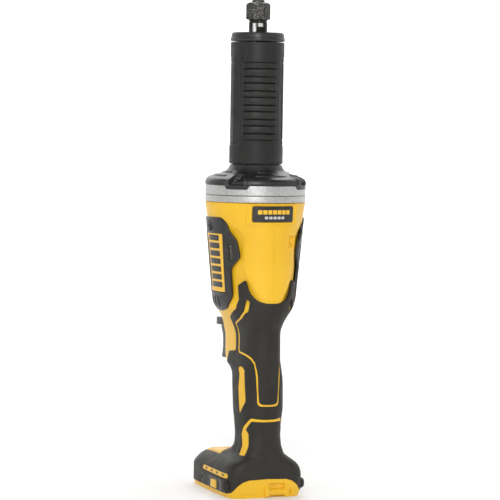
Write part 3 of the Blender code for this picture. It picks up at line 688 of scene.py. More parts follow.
BOARD = moulded("solder_mask", (0.01, 0.1, 0.035), (0.016, 0.15, 0.05), (0.3, 0.3, 0.2), (0.25, 0.4), 0.9,
                0.05)
LENS = Look("frosted_lens", roughness=0.2, IOR=1.49)
LENS.colour(LENS.colours(LENS.noise(0.5, 3), [(0.3, (0.55, 0.52, 0.42)), (0.7, (0.75, 0.72, 0.6))]))
LENS.bump(LENS.cells(0.9), 0.15, 0.5)
LENS = LENS.material

# Looks of the CAD parts that stay on show, by part name
CAD_LOOKS = {
    CAST: ("neck_tube",),
    POLISHED: ("spindle_bearing_front", "spindle_bearing_mid", "rotor_bearing_front", "rotor_bearing_rear",
               "shaft_coupling", "rotor_shaft"),
    LAMINATED: ("stator", "rotor_core"),
    COPPER: ("winding_front", "winding_rear"),
    BOARD: ("sensor_board",),
    GREY: ("motor_end_plate", "switch_module", "control_module"),
    BLACK: ("fan", "battery_rails", "terminal_block"),
    CONTACT: ("contact_1", "contact_2", "contact_3"),
}
for look, node_names in CAD_LOOKS.items():
    for node_name in node_names:
        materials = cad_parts[node_name].data.materials
        materials.clear()
        materials.append(look)


# Body shell
shell = Shell()
FRONT_SEAM = 1.0
GRIP_OUTLINE = [
    (-75, 3.4), (27.5, 3.4), (50, 72.8), (34.6, 72.8), (33.4, 73.2), (32.6, 75.4), (32.4, 84),
    (31.2, 99.8), (29.4, 106.3), (25.7, 109.9), (20, 112.1), (14.3, 113.1), (8, 114), (7.2, 116),
    (7, 128.9), (7.6, 132.4), (7.3, 137.2), (19.5, 142.4), (27.3, 148.4), (29.4, 152.8), (30.4, 157.6),
    (31.7, 158), (33.2, 162.7), (32.1, 165.7), (31.3, 170.5), (30.4, 173.3), (25.7, 169.3), (25.9, 158),
    (21.5, 150.4), (4.6, 142), (2.6, 135.6), (2.3, 128.2), (2.6, 116.3), (0.4, 115), (-12, 113.6),
    (-14.5, 110), (-17, 104), (-24, 99.5), (-75, 99),
]
FOOT_BACK = [(30.2, 4.2), (28.4, 6.4), (25.0, 10.3), (21.0, 13.0), (16.0, 14.5), (0.0, 15.0)]  # x, z
BACK_PAD_OUTLINE = [
    (50, 74.1), (50, 155), (38.7, 155.1), (37.8, 155.9), (36.1, 157.2), (34.5, 160), (33, 162.8),
    (31.3, 158.2), (32, 158), (32.6, 156.4), (32.5, 154.8), (30.4, 148.4), (28.2, 147.2), (21.3, 142),
    (9.7, 137.2), (9.2, 132), (9.4, 128.9), (9.5, 115.6), (10.2, 115), (16.8, 114.3), (22.9, 112.9),
    (27, 110.9), (30, 107.2), (31.9, 100.5), (32.9, 84), (33.2, 76.2), (33.9, 74.6), (34.6, 74.1),
]
LOWER_STRIPE = [
    (50, 62), (34, 62.1), (28.9, 63.2), (20.5, 55.3), (17.9, 50.1), (19.8, 33.8), (27, 33.6),
    (26.1, 50.5), (23.5, 53.7), (28.9, 60.8), (34, 60.4), (50, 60.4),
]
WEDGE = [(11, 103.1), (17, 103.1), (21.1, 99.9), (24.8, 76.4), (16.8, 65.6), (14.4, 83.1)]
PANEL_OUTLINE = [
    (-20, 222.2), (15.2, 222.6), (20.1, 218.2), (20.9, 212.7), (26.7, 205.1), (28.4, 192.1),
    (27.1, 189.3), (20.6, 182.3), (20.4, 159.8), (13.2, 150.4), (2.4, 147.4), (-8, 147.4), (-17, 150.4),
    (-24, 160), (-24.5, 213),
]
BADGE_OUTLINE = [(-12.2, 209.4), (15, 209.4), (13.4, 163), (-11.0, 163)]
STRIP_OUTLINE = [(-29, 16.0), (26, 15.6), (28, 17.2), (26.5, 19.4), (-29, 19.4)]
SPEED_PANEL_OUTLINE = [(-16, 3.9), (18, 3.9), (18, 12.8), (-16, 12.8)]
BUTTON_OUTLINE = [(-7, 4.9), (6, 4.9), (6, 11.2), (-7, 11.2)]
BACK_FACE = 34.6
BUMPER = (26.2, 9.8, 3.9, 4.2)  # centre y, centre z, half width, half height
FOOT_SCREW = (-32.6, 8.9)  # y, z
MOUTH_HALF, MOUTH_TOP = 21.4, 12.4
# Half of the opening for trigger and lock button, in x and z from the seam
WINDOW_HALF = [(0, 104.9), (9.6, 104.9), (9.6, 131.6), (12.4, 131.6), (12.4, 138.6), (0, 138.6)]
LIGHT_PLATE = [(-20.2, -16.5), (-16.8, -53), (-11, -58.3), (11, -58.3), (16.8, -53), (20.2, -16.5)]
LENS_POCKET = rectangle(-5.4, 5.4, -51, -41)


def raised(z):
    """0 where the rubber is flush with the body and 1 where it stands proud of it."""
    return ramp(z, RAISED_FROM, RAISED_TO)


def yellow_height(base, places):
    """The yellow shell lies a little below the rubber, and is drawn in beside the crown on its back."""
    x, y, z = np.abs(base[:, 0]), base[:, 1], base[:, 2]
    height = -0.4 * (1 - raised(z))
    height = height - 0.9 * ramp(np.abs(places[:, 0]), 0.7, 0.74) * ramp(z, 36, 39) * (1 - ramp(z, 97, 99))
    crown = 22.0 - 0.012 * (z - 190) ** 2 * (z < 190) + 7.0 * ramp(z, 205, 219)
    drawn = ramp(x, crown - 1.4, crown + 2.0) * ramp(y, -8, 4)
    return height - 2.3 * drawn * ramp(z, 150, 162) * (1 - ramp(z, 209, 221))


def plan_loop(outline, side):
    """Loop of places on the top of the foot, from an outline drawn in x and y."""
    points = []
    for (ax, ay), (bx, by) in zip(outline, outline[1:] + outline[:1]):
        cuts = max(1, int(math.dist((ax, ay), (bx, by)) / 2))
        points += [(ax + (bx - ax) * k / cuts, ay + (by - ay) * k / cuts) for k in range(cuts)]
    made = []
    for x, y in points:
        x = side * max(side * x, 0.0)
        made.append(tuple(shell.across([(x, float(shell.top(x, y)[0]))], back=False)[0]))
    made = np.array(made)
    made[np.abs(made[:, 0]) > 0.9995, 0] = side * FRONT_SEAM
    return made


def mouth_loop(side, low):
    """Half of the battery mouth, from this height up."""
    corners = [(0, low), (side * MOUTH_HALF, low), (side * MOUTH_HALF, MOUTH_TOP), (0, MOUTH_TOP)]
    return front_loop(corners, side)


def on_side(outline, side=1, reach=0.8):
    """Loop of places from an outline in y and z, with its corners eased."""
    return shell.side(soft_corners(outline, reach), side)


def on_back(outline, reach=0.5):
    """Loop of places on the back from an outline in x and z, with its corners eased."""
    return shell.across(soft_corners(outline, reach), back=True)


def front_loop(outline, side):
    """Loop of places on the front, with points on the middle put on the seam."""
    made = []
    for x, z in outline:
        place = shell.across([(x if x else side * 1e-6, z)], back=False)[0]
        made.append((side * FRONT_SEAM, place[1]) if abs(x) < 1e-5 else tuple(place))
    return np.array(made)


def housings():
    """Yellow halves, open at the battery mouth, trigger and buttons, with a pocket for the back plate."""
    for side, name in SIDES:
        top = float(np.interp(BODY_TOP, shell.z, shell.v))
        window = front_loop([(side * x, z) for x, z in WINDOW_HALF], side)
        ends = [(side * FRONT_SEAM, top), (0, top)]
        outer = np.concatenate([[(0, 0)], mouth_loop(side, 0)[1:], window, ends])
        steps = [(on_back(rectangle(-17.8, 17.8, 219.3, 232.4), 1.6), 0.25, -0.9),
                 (on_back(rectangle(-21.2, 21.2, 216.4, 233.9), 2.2), 0.4, 0.7),
                 (on_back(rectangle(-20.0, 20.0, 217.6, 233.1), 1.8), 0.35, -0.6)]
        holes = []
        if side > 0:
            holes = [on_side(grown(BUTTON_OUTLINE, 0.4)), shell.side(oval(*FOOT_SCREW, 2.9, 2.9), side)]
        else:
            arrow = [(-18.6, 201.2), (-18.6, 206.8), (-15.6, 204.0)]
            steps += [(on_back(rectangle(-20.5, -14.2, 199.6, 208.4), 0.8), 0.3, -1.5),
                      (shell.across(arrow, back=True), 0.2, 1.1),
                      (shell.across(rectangle(-20.8, -19.2, 1.6, 5.8), back=True), 0.25, -1.0),
                      (on_back(rectangle(-14.6, -1.4, -3, 11.2), 0.8), 0.4, -2.2)]
        made = patch(shell, outer, holes, steps, top=yellow_height, bottom=-WALL, edge=0.35, seam=0.38,
                     spacing=1.8, dense=(*sorted((0, side * 0.3)), 214, BODY_TOP - 0.5, 0.9))
        put(f"{name}_shell", *made, YELLOW, stands_for=[f"housing_{name}"], slot="yellow_shell")


def rubber_height(base, places):
    """Top of the rubber: flush below, proud on the motor and ribbed on the front of the handle."""
    y, z = base[:, 1], base[:, 2]
    height = 0.05 + 1.1 * raised(z)
    front = ramp(np.abs(places[:, 0]), 0.74, 0.8)
    ribbed = front * ramp(z, 40, 43) * (1 - ramp(z, 96, 99))
    height = height - 0.9 * ribbed * (0.5 + 0.5 * np.cos(2 * math.pi * z / 2.45)) ** 2
    ledge = ramp(z, 35.4, 36.2) * (1 - ramp(z, 36.2, 44)) * (1 - ramp(np.abs(places[:, 0]), 0.45, 0.5))
    seam_groove = np.exp(-((z - 151.2) / 0.5) ** 2) * (y > 30)
    return height + 0.35 * ledge - 0.6 * seam_groove


def grips():
    """Overmoulded rubber: a side piece that runs down over the foot, and a pad on the back of the handle."""
    y, z, wide, tall = BUMPER
    for side, name in SIDES:
        outer = on_side(GRIP_OUTLINE, side, 0.9)
        outer[np.abs(outer[:, 0]) > 0.9985, 0] = side * FRONT_SEAM
        behind = shell.across([(side * x, z) for x, z in FOOT_BACK], back=True)
        low_end = 2 * CORNER_POINTS
        outer = np.concatenate([outer[:low_end], behind, outer[low_end:]])
        holes = [on_side(LOWER_STRIPE, side, 0.9), on_side(WEDGE, side, 2.0),
                 shell.side(oval(y, z, wide + 0.05, tall + 0.05), side),
                 plan_loop(grown(LIGHT_PLATE, 0.4), side), mouth_loop(side, -2)]
        if side > 0:
            holes += [on_side(grown(STRIP_OUTLINE, 0.1)),
                      on_side(grown(SPEED_PANEL_OUTLINE, 0.06), side, 1.6),
                      shell.side(oval(*FOOT_SCREW, 3.05, 3.05), side)]
        side_grip = patch(shell, outer, holes, top=rubber_height, bottom=-1.3, edge=0.6, seam=0.15,
                          dense=(*sorted((side * 0.76, side)), 40, 99, 0.45))
        back_grip = patch(shell, on_side(BACK_PAD_OUTLINE, side, 0.7), top=rubber_height, bottom=-1.3,
                          edge=0.6, seam=0.28, spacing=1.6)
        for kind, made in (("side", side_grip), ("back", back_grip)):
            put(f"{name}_{kind}_grip", *made, RUBBER, stands_for=[f"{kind}_grip_{name}"], slot="rubber")


def on_body(name, outer, look, top, bottom, edge, spacing, slot=None, stands_for=(), body="housing",
            **values):
    """A skin on the body shell, from a loop of places."""
    made = patch(shell, outer, top=top, bottom=bottom, edge=edge, spacing=spacing, **values)
    return put(name, *made, look, body=body, stands_for=stands_for, slot=slot)


def panels():
    """Side panels with a sunk badge, a screw pocket, three vents and a small sunk window on the rear lobe."""
    proud = 1.25
    for side, name in SIDES:
        steps = [(shell.side(oval(-1, 215.2, 4.3, 4.3), side), 0.35, -1.1),
                 (on_side(grown(BADGE_OUTLINE, 1.6), side, 1.2), 0.35, 0.3),
                 (on_side(grown(BADGE_OUTLINE, 0.5), side), 0.25, -0.75),
                 (on_side(rectangle(20.3, 23.7, 188.5, 201.5), side), 0.25, -0.9)]
        steps += [(on_side(rectangle(y - 1.3, y + 1.3, 151.2, 158.8), side, 1.2), 0.3, -1.05)
                  for y in (-9, -3, 3)]
        on_body(f"{name}_side_panel", on_side(PANEL_OUTLINE, side, 3.0), PANEL, proud, -0.8, 1.0, 1.5,
                "black_plastic", [f"side_panel_{name}"], steps=steps)
        on_body(f"{name}_badge", on_side(BADGE_OUTLINE, side), BADGE_YELLOW, proud - 0.15, proud - 0.8, 0.2,
                2.0, "yellow_shell", [f"badge_{name}"])
        blocks = [rectangle(-5.2, 11.0, z, z + 4.4) for z in np.arange(166.6, 204, 6.2)]
        blocks.append(rectangle(-9.6, -7.6, 166.6, 206.0))
        for k, block in enumerate(blocks):
            on_body(f"{name}_badge_bar_{k + 1}", on_side(block, side, 0.7), PANEL, proud + 0.05, proud - 0.4,
                    0.12, 2.5)
        on_body(f"{name}_panel_window", on_side(rectangle(20.7, 23.3, 188.9, 201.1), side, 0.6), WINDOW,
                proud - 0.65, proud - 1.1, 0.2, 2.0)
        screw(f"{name}_panel_screw", (side * 37.7, -1, 215.2), side, f"panel_screw_{name}")


def back_label():
    """Plain plate over the parting line, with bars where the real one has words."""
    on_body("back_plate", on_back(rectangle(-17.4, 17.4, 219.7, 232.0), 1.6), PANEL, 0.15, -1.2, 0.3, 1.6,
            "black_plastic", ["back_label"])
    for kind, count, start, pitch, wide, low, high, look, top in (
            ("bar", 7, -13.6, 3.95, 3.3, 225.8, 229.2, BADGE_YELLOW, 0.26),
            ("dash", 5, -8.6, 3.5, 2.7, 222.0, 224.1, PALE, 0.24)):
        for k in range(count):
            x = start + pitch * k
            on_body(f"back_plate_{kind}_{k + 1}", on_back(rectangle(x, x + wide, low, high)), look, top, -0.3,
                    0.08, 2.0)


def foot_details():
    """Speed button in its dark panel, the strip of windows over it, bumpers, work light and lanyard bar."""
    button = [(on_side(grown(BUTTON_OUTLINE, 1.6), 1, 1.2), 0.3, 0.35)]
    button += [(on_side(rectangle(*span, 5.2, 11.2)), 0.3, -0.35) for span in ((10.2, 15.4), (-13.6, -9.6))]
    on_body("speed_plate", on_side(SPEED_PANEL_OUTLINE, 1, 1.6), BLACK, 0.1, -1.2, 0.35, 1.2, "black_plastic",
            ["speed_panel"], holes=[on_side(grown(BUTTON_OUTLINE, 0.35))], steps=button)
    on_body("speed_key", on_side(BUTTON_OUTLINE, 1, 0.9), YELLOW, 1.0, -3.2, 0.45, 1.0, "yellow_shell",
            ["speed_button"], "speed_button", steps=[(shell.side(oval(-0.5, 8.0, 1.5, 1.5), 1), 0.25, -0.3)])
    windows = [rectangle(y - 3.3, y + 3.3, 16.7, 18.6) for y in (-21, -7.5, 6, 19.5)]
    on_body("gauge_strip", on_side(STRIP_OUTLINE), YELLOW, 0.1, -1.2, 0.3, 1.2, "yellow_shell",
            ["speed_strip"], steps=[(on_side(outline, 1, 0.4), 0.15, -0.55) for outline in windows])
    for k, outline in enumerate(windows):
        on_body(f"gauge_window_{k + 1}", on_side(grown(outline, -0.2), 1, 0.4), WINDOW, -0.3, -0.8, 0.12, 1.5)
    for side, name in SIDES:
        on_body(f"{name}_foot_bumper", shell.side(oval(*BUMPER), side), RUBBER, 2.9, -1.2, 2.4, 0.8, "rubber",
                [f"foot_bumper_{name}"])
    screw("foot_side_screw", (28.4, *FOOT_SCREW), 1, "foot_screw")

    xs, ys = np.linspace(-22, 22, 89), np.linspace(62, 13, 99)
    grid_x, grid_y = np.meshgrid(xs, -ys)
    heights = shell.top(grid_x.ravel(), grid_y.ravel()).reshape(grid_x.shape)
    plan = Surface(xs, -ys, np.stack([grid_x, grid_y, heights], axis=2), False)
    plan.normals *= np.where(plan.normals[..., 2:] < 0, -1, 1)

    def flat_loop(outline, reach):
        return np.array(soft_corners(outline, reach))

    steps = [(flat_loop(grown(LIGHT_PLATE, -1.9), 1.5), 0.5, -1.7)]
    steps += [(flat_loop(rectangle(-6.5, 6.5, y, y + 1.4), 0.5), 0.25, -0.7) for y in (-37, -33, -29)]
    made = patch(plan, flat_loop(LIGHT_PLATE, 1.5), [flat_loop(grown(LENS_POCKET, 0.2), 0.8)], steps,
                 top=0.25, bottom=-2.9, edge=0.5, spacing=1.1)
    put("light_plate", *made, YELLOW, stands_for=["light_bezel"], slot="yellow_shell")
    made = patch(plan, flat_loop(LENS_POCKET, 0.8), top=-1.1, bottom=-2.9, edge=0.4, spacing=1.1)
    put("work_light_lens", *made, LENS, stands_for=["light_lens"], slot="clear_lens")
    lanyard_bar()


def lanyard_bar():
    """Round bar between two posts on the back of the foot."""
    back, height, steps = BACK_FACE, 4.3, 32
    stations = [(-15.1, 3.1), (-14.6, 2.8), (-13.6, 2.7), (-8, 2.7), (-2.4, 2.7), (-1.4, 2.8), (-0.9, 3.1)]
    verts = [(x, back - 1.5 + r * math.cos(a), height + r * math.sin(a))
             for x, r in stations for a in turns(steps)]
    put("lanyard_rod", verts, tube_faces(len(stations), steps), YELLOW, slot="yellow_shell")
    for name, x0, x1 in (("left", -1.3, 2.6), ("right", -18.3, -14.7)):
        outline = [(back - 4.5, 0.3), (back + 0.4, 0.3), (back + 1.5, 1.6), (back + 1.5, 7.2),
                   (back + 0.2, 10.4), (back - 4.5, 11.4)]
        block(f"lanyard_post_{name}", outline, x0, x1, YELLOW, 0.6, slot="yellow_shell")


def block(name, outline, x0, x1, look, radius, body="housing", stands_for=(), slot=None, segments=4):
    """A solid pushed along x from an outline in y and z, with every edge rounded over."""
    shape = bmesh.new()
    rings = [[shape.verts.new((x, y, z)) for y, z in outline] for x in (x0, x1)]
    for k in range(len(outline)):
        n = (k + 1) % len(outline)
        shape.faces.new((rings[0][k], rings[0][n], rings[1][n], rings[1][k]))
    shape.faces.new(rings[0])
    shape.faces.new(rings[1][::-1])
    bmesh.ops.recalc_face_normals(shape, faces=shape.faces[:])
    edges = [e for e in shape.edges if e.calc_face_angle(0) > math.radians(12)]
    bmesh.ops.bevel(shape, geom=edges, offset=radius, segments=segments, profile=0.5, affect="EDGES",
                    clamp_overlap=True)
    for vert in shape.verts:
        vert.co = vert.co * MM + AXIS
    return finish_piece(name, shape, look, body, stands_for)


def screw(name, at, side, stands_for, upright=False):
    """Pan-head screw with a six-lobed socket. at is the foot of its head."""
    rings = [(2.9, -0.6, 0), (3.0, 0.0, 0), (3.0, 0.6, 0), (2.8, 1.0, 0), (2.4, 1.25, 0), (1.85, 1.35, 0),
             (1.5, 1.3, 0.12), (1.42, 1.0, 0.14), (1.38, 0.2, 0.14), (1.1, 0.05, 0.1), (0.0, 0.0, 0)]
    verts = []
    for r, up, lobes in rings:
        for a in turns(60):
            reach = r * (1 + lobes * math.cos(6 * a))
            x, y = reach * math.cos(a), reach * math.sin(a)
            verts.append(Vector((x, y, up) if upright else (side * up, x, y)) + Vector(at))
    put(name, verts, tube_faces(len(rings), 60, caps=1), SCREW, stands_for=[stands_for], slot="dark_steel")


# Working end
def turned(name, profile, look, body, stands_for, slot, reach, steps=96, shape=lambda verts: verts):
    """A turned piece from a closed (radius, height) profile. shape moves its points afterwards."""
    profile = eased(profile, reach)
    verts = np.array([(r * math.sin(a), r * math.cos(a), z) for r, z in profile for a in turns(steps)])
    put(name, shape(verts), grid_faces(len(profile), steps), look, body=body, stands_for=[stands_for],
        slot=slot, sharp=50)


def soft_min(a, b, k):
    """The lower of two values, with the change from one to the other rounded."""
    h = np.clip(0.5 + 0.5 * (b - a) / k, 0, 1)
    return b + (a - b) * h - k * h * (1 - h)


def radial(verts, change):
    """Moves points in or out: change gets radius, turn from the back and height, and gives the new radius."""
    radius = np.hypot(verts[:, 0], verts[:, 1])
    turn = np.arctan2(verts[:, 0], verts[:, 1])
    new = change(radius, turn, verts[:, 2])
    scale = np.where(radius > 1e-6, new / np.maximum(radius, 1e-6), 1)
    made = verts.copy()
    made[:, :2] *= scale[:, None]
    return made


def nut_shape(verts):
    """Hexagon, across flats 17, with the corners turned off at the top."""
    def change(radius, turn, z):
        sector = (turn + math.pi / 6 - math.radians(HEX_TURN)) % (math.pi / 3) - math.pi / 6
        return np.where((radius > 7.9), soft_min(radius, 8.5 / np.cos(sector), 0.25), radius)

    return radial(verts, change)


def spindle_shape(verts):
    """Wrench flats milled into two sides."""
    def change(radius, turn, z):
        flat = 6.3 / np.maximum(np.abs(np.cos(turn - math.radians(9.5))), 1e-3)
        milled = (z > FLATS_LOW) & (z < FLATS_TOP) & (radius > 5.0)
        return np.where(milled, np.minimum(radius, flat), radius)

    return radial(verts, change)


def working_end():
    nut = [(5.9, 393.6), (7.4, 393.4), (8.9, 392.6), (10.2, 391.3), (10.2, 388.0), (10.2, 384.0),
           (10.2, 380.3), (9.9, 379.9), (8.2, 379.8), (7.7, 379.5), (7.55, 378.8), (6.9, 378.4), (6.9, 377.9),
           (7.45, 377.6), (7.45, 377.2), (7.2, 376.9), (5.9, 376.9), (5.9, 389.4), (5.15, 390.3),
           (5.15, 393.2)]
    turned("hex_collet_nut", nut, FORGED, "collet_nut", "collet_nut", "dark_steel", 0.15, 144, nut_shape)
    collet = [(5.0, TOP_Z - 0.5), (5.0, 390), (5.6, 389.1), (5.6, 387.7), (5.0, 387.1), (3.72, 372.6),
              (3.18, 372.6), (3.18, TOP_Z - 1.0), (3.6, TOP_Z - 0.5)]
    turned("spring_collet", collet, FORGED, "collet", "collet", "dark_steel", 0.35)
    spindle = [(5.2, 387.0), (5.7, 387.0), (5.7, 376.9), (7.5, 376.9), (7.5, 373.9), (7.5, 373.75),
               (7.5, 371.5), (7.5, 369.35), (7.5, 369.2), (7.5, 351.3), (5.0, 351.3), (5.0, 342.8),
               (6.2, 342.4), (6.2, 283.6), (5.0, 283.2), (5.0, 274), (4.0, 273.5), (4.0, 260.2),
               (0.01, 260.2), (0.01, 350), (3.4, 350), (3.4, 371), (3.9, 372)]
    turned("ground_spindle", spindle, POLISHED, "spindle", "spindle", "steel", 0.12, 128, spindle_shape)
    cap = [(19.0, 369.6), (20.5, 369.1), (21.1, 367.6), (21.2, 365.3), (21.75, 364.7), (21.8, 363.4),
           (21.3, 362.3), (8.3, 362.1), (8.0, 363), (8.0, 368.7), (9.2, 369.2), (12, 369.3), (15.5, 369.3),
           (16.2, 369.6)]
    turned("front_cap", cap, BLACK, "housing", "nose_cap", "black_plastic", 0.5)


def grip_sleeve():
    """Rubber sleeve: plain bands at both ends, ribbed panels back and front, drawn-in lands between them."""
    low_band, high_band, notch = 283.9, 345.4, 4.1
    first, pitch, narrow = 340.4, 11.3, 6.3
    grooves = sorted(first - pitch * k - offset for k in range(5) for offset in (0, narrow))
    levels = set(np.round(np.arange(SLEEVE_LOW, SLEEVE_TOP, 0.8), 3))
    for z in (*grooves, low_band, high_band, low_band - notch, high_band + notch):
        levels |= {round(z + d, 3) for d in (-0.8, -0.55, -0.35, -0.15, 0, 0.15, 0.35, 0.55, 0.8)}
    for d in (0.0, 0.15, 0.4, 0.8):
        levels |= {round(SLEEVE_LOW + d, 3), round(SLEEVE_TOP - d, 3)}
    levels = np.array(sorted(z for z in levels if SLEEVE_LOW <= z <= SLEEVE_TOP))
    fine = [middle + SLEEVE_TURN + d for middle in (37, 43, 51, 66, 143, 137, 129, 114)
            for d in (-1.6, -0.8, 0, 0.8, 1.6)]
    half = sorted({round(t, 2) for t in [*np.arange(0, 180, 2.0), *(t % 180 for t in fine)]})
    degrees, z = np.meshgrid(np.array(half + [t + 180 for t in half]), levels)

    def line(z0, wide):
        return np.exp(-(((z - z0) / wide) ** 2))

    def between(low, high, soft):
        return ramp(z, low - soft, low + soft) * (1 - ramp(z, high - soft, high + soft))

    off = np.abs((degrees - SLEEVE_TURN + 90) % 180 - 90)
    beyond = np.abs(z - (low_band + high_band) / 2) - (high_band - low_band) / 2
    corner = np.clip(beyond + 3.2, 0, 3.2) / 3.2
    panel = 1 - ramp(off, 36, 38)
    side = ramp(off, 65, 67)
    lands = ramp(off + 5 * corner, 41, 43) * (1 - side)
    strip = ramp(off, 50, 52) * (1 - side)
    span = between(low_band - notch + 0.3, high_band + notch - 0.3, 0.3)
    radius = SLEEVE_R - (lands * 0.5 + strip * 0.45) * span
    radius -= side * span * 0.35
    radius -= side * 0.35 * np.exp(-((beyond / 0.45) ** 2))
    cut = np.max([np.exp(-(((z - groove) / 0.42) ** 4)) for groove in grooves], axis=0)
    rib = np.zeros(z.shape)
    for k, (low, high) in enumerate(zip([low_band, *grooves], [*grooves, high_band])):
        t = np.clip((z - low) / (high - low), 0, 1)
        rib += np.where((z >= low) & (z < high), np.sin(math.pi * t) ** 0.6 * (0.55 if k % 2 else 0.3), 0)
    radius += panel * between(low_band, high_band, 0.3) * (rib - 0.35 - 1.0 * cut)
    for z0 in (low_band, high_band):
        radius -= panel * (0.7 * line(z0, 0.35) - 0.2 * line(z0, 1.3))
    for z0 in (low_band - notch, high_band + notch):
        radius -= (1 - panel) * 0.6 * line(z0, 0.35)
    chamfer = np.exp(-(((off + 5 * corner - 42) / 1.3) ** 2))
    radius -= 0.55 * chamfer * between(low_band - notch / 2, high_band + notch / 2, notch / 2)
    near_end = np.minimum(z - SLEEVE_LOW, SLEEVE_TOP - z)
    radius -= 0.9 * (1 - np.sqrt(1 - (1 - np.clip(near_end / 0.9, 0, 1)) ** 2))
    radius = np.concatenate([radius, np.full((2, radius.shape[1]), SLEEVE_BORE)])
    z = np.concatenate([z, z[[-1, 0]]])
    a = np.radians(degrees[0])
    grid = np.stack([radius * np.sin(a), radius * np.cos(a), z], axis=2)
    put("ribbed_sleeve", grid.reshape(-1, 3), grid_faces(*z.shape), SLEEVE, stands_for=["grip_sleeve"],
        slot="rubber", sharp=60)


def flange():
    """Flared cover: vent slots, four arched screw pockets and four tabs that dip over the ring."""
    profile = [(17.4, 264.4), (20.5, 264.4), (21.4, 262.4), (22.2, 260.6), (24.2, 258.8), (27.6, 257.4),
               (32.6, 255.6), (37.0, 253.9), (39.2, 252.7), (40.1, 251.6), (40.4, 250.6), (40.45, 247.0),
               (40.45, 243.8)]
    curve = np.array(soft_corners(profile + [profile[-1]], 0.8, 6))[1:-3]
    curve = curve[np.concatenate([[True], np.linalg.norm(np.diff(curve, axis=0), axis=1) > 0.01])]
    length = run_along(*curve.T)
    v = np.linspace(0, length[-1], 200)
    radius, height = np.interp(v, length, curve[:, 0]), np.interp(v, length, curve[:, 1])
    w = np.linspace(-1, 1, 361)
    a = math.pi * w
    points = [radius[:, None] * np.sin(a), radius[:, None] * np.cos(a), height[:, None] + 0 * a]
    flare = Surface(w, v, np.stack(points, axis=2), False)
    outwards = (flare.normals[..., :2] * flare.points[..., :2]).sum(2) + flare.normals[..., 2]
    flare.normals *= np.sign(outwards)[..., None]

    def down(z):
        return float(np.interp(-z, -height, v))

    def out(r):
        return float(np.interp(r, radius[:150], v[:150]))

    def arc(start, end, low, high):
        return np.array(rectangle(start / 180, end / 180, low, high))

    rim, tab = down(248.3), down(244.9)
    corners = (-135, -45, 45, 135)
    lower = [((middle + off) / 180, place) for middle in corners
             for off, place in ((-16, rim), (-13, tab), (13, tab), (16, rim))]
    outer = np.array([(-1, 0), (1, 0), (1, rim), *lower[::-1], (-1, rim)])
    steps = []
    for middle in (-180, -90, 0, 90):
        for r, wide in ((25.2, 20), (32.4, 22)):
            if middle == -180:
                spans = [(-179.6, wide - 180), (180 - wide, 179.6)]
            else:
                spans = [(middle - wide, middle + wide)]
                steps.append((arc(*spans[0], out(r), out(r) + 1.5), 0.25, 0.55))
            steps += [(arc(*span, out(r) - 0.75, out(r) + 0.55), 0.25, -2.0) for span in spans]
    for middle in corners:
        around = [(13.2, down(248.2)), (-13.2, down(248.2)), (-9.6, out(31.4)), (9.6, out(31.4))]
        arch = [(-7.8 * math.cos(t), out(34.0) - 5.2 * math.sin(t)) for t in np.linspace(0, math.pi, 13)]
        pocket = [(8.4, down(248.6)), (-8.4, down(248.6)), *arch]
        for shape, soft, by in ((around, 0.8, 0.7), (pocket, 0.4, -2.1)):
            steps.append((np.array([((middle + off) / 180, place) for off, place in shape]), soft, by))
    made = patch(flare, outer, (), steps, bottom=-2.4, edge=0.35, spacing=1.5)
    put("flared_cover", *made, BLACK, stands_for=["vent_flange"], slot="black_plastic", sharp=45)
    for k in range(4):
        a = math.radians(45 + 90 * k)
        at = (34.4 * math.sin(a), 34.4 * math.cos(a), 253.4)
        screw(f"cover_screw_{k + 1}", at, 1, f"flange_screw_{k + 1}", upright=True)


def rings():
    """The two cast rings, with a soft seam between them and a small boss on the left."""
    def change(radius, turn, z):
        around = (turn - math.radians(97)) * RING_R
        lump = 0.55 * np.exp(-((around**2 + (z - 243.9) ** 2) / 3.2) ** 2)
        uneven = 0.035 * np.sin(9 * turn + 0.7 * z) + 0.03 * np.sin(23 * turn - 1.3 * z)
        return np.where(radius > 39, radius + lump + uneven, radius)

    front = [(RING_R - 0.9, RING_TOP), (RING_R - 0.2, RING_TOP), (RING_R, RING_TOP - 0.4), (RING_R, 244.0),
             (RING_R, RING_SEAM + 0.5), (RING_R - 0.4, RING_SEAM + 0.1), (28, RING_SEAM + 0.1),
             (28, RING_TOP)]
    rear = [(RING_R - 0.4, RING_SEAM - 0.1), (RING_R, RING_SEAM - 0.5), (RING_R, RING_LOW + 0.5),
            (RING_R - 0.5, RING_LOW), (36.9, RING_LOW), (36.9, 236.4), (9.75, 236.4), (9.75, RING_SEAM - 0.1)]
    for name, profile, node in (("upper_ring", front, "ring_front"), ("lower_ring", rear, "ring_rear")):
        turned(name, profile, CAST, "housing", node, "cast_aluminium", 0.25, 240,
               lambda verts: radial(verts, change))


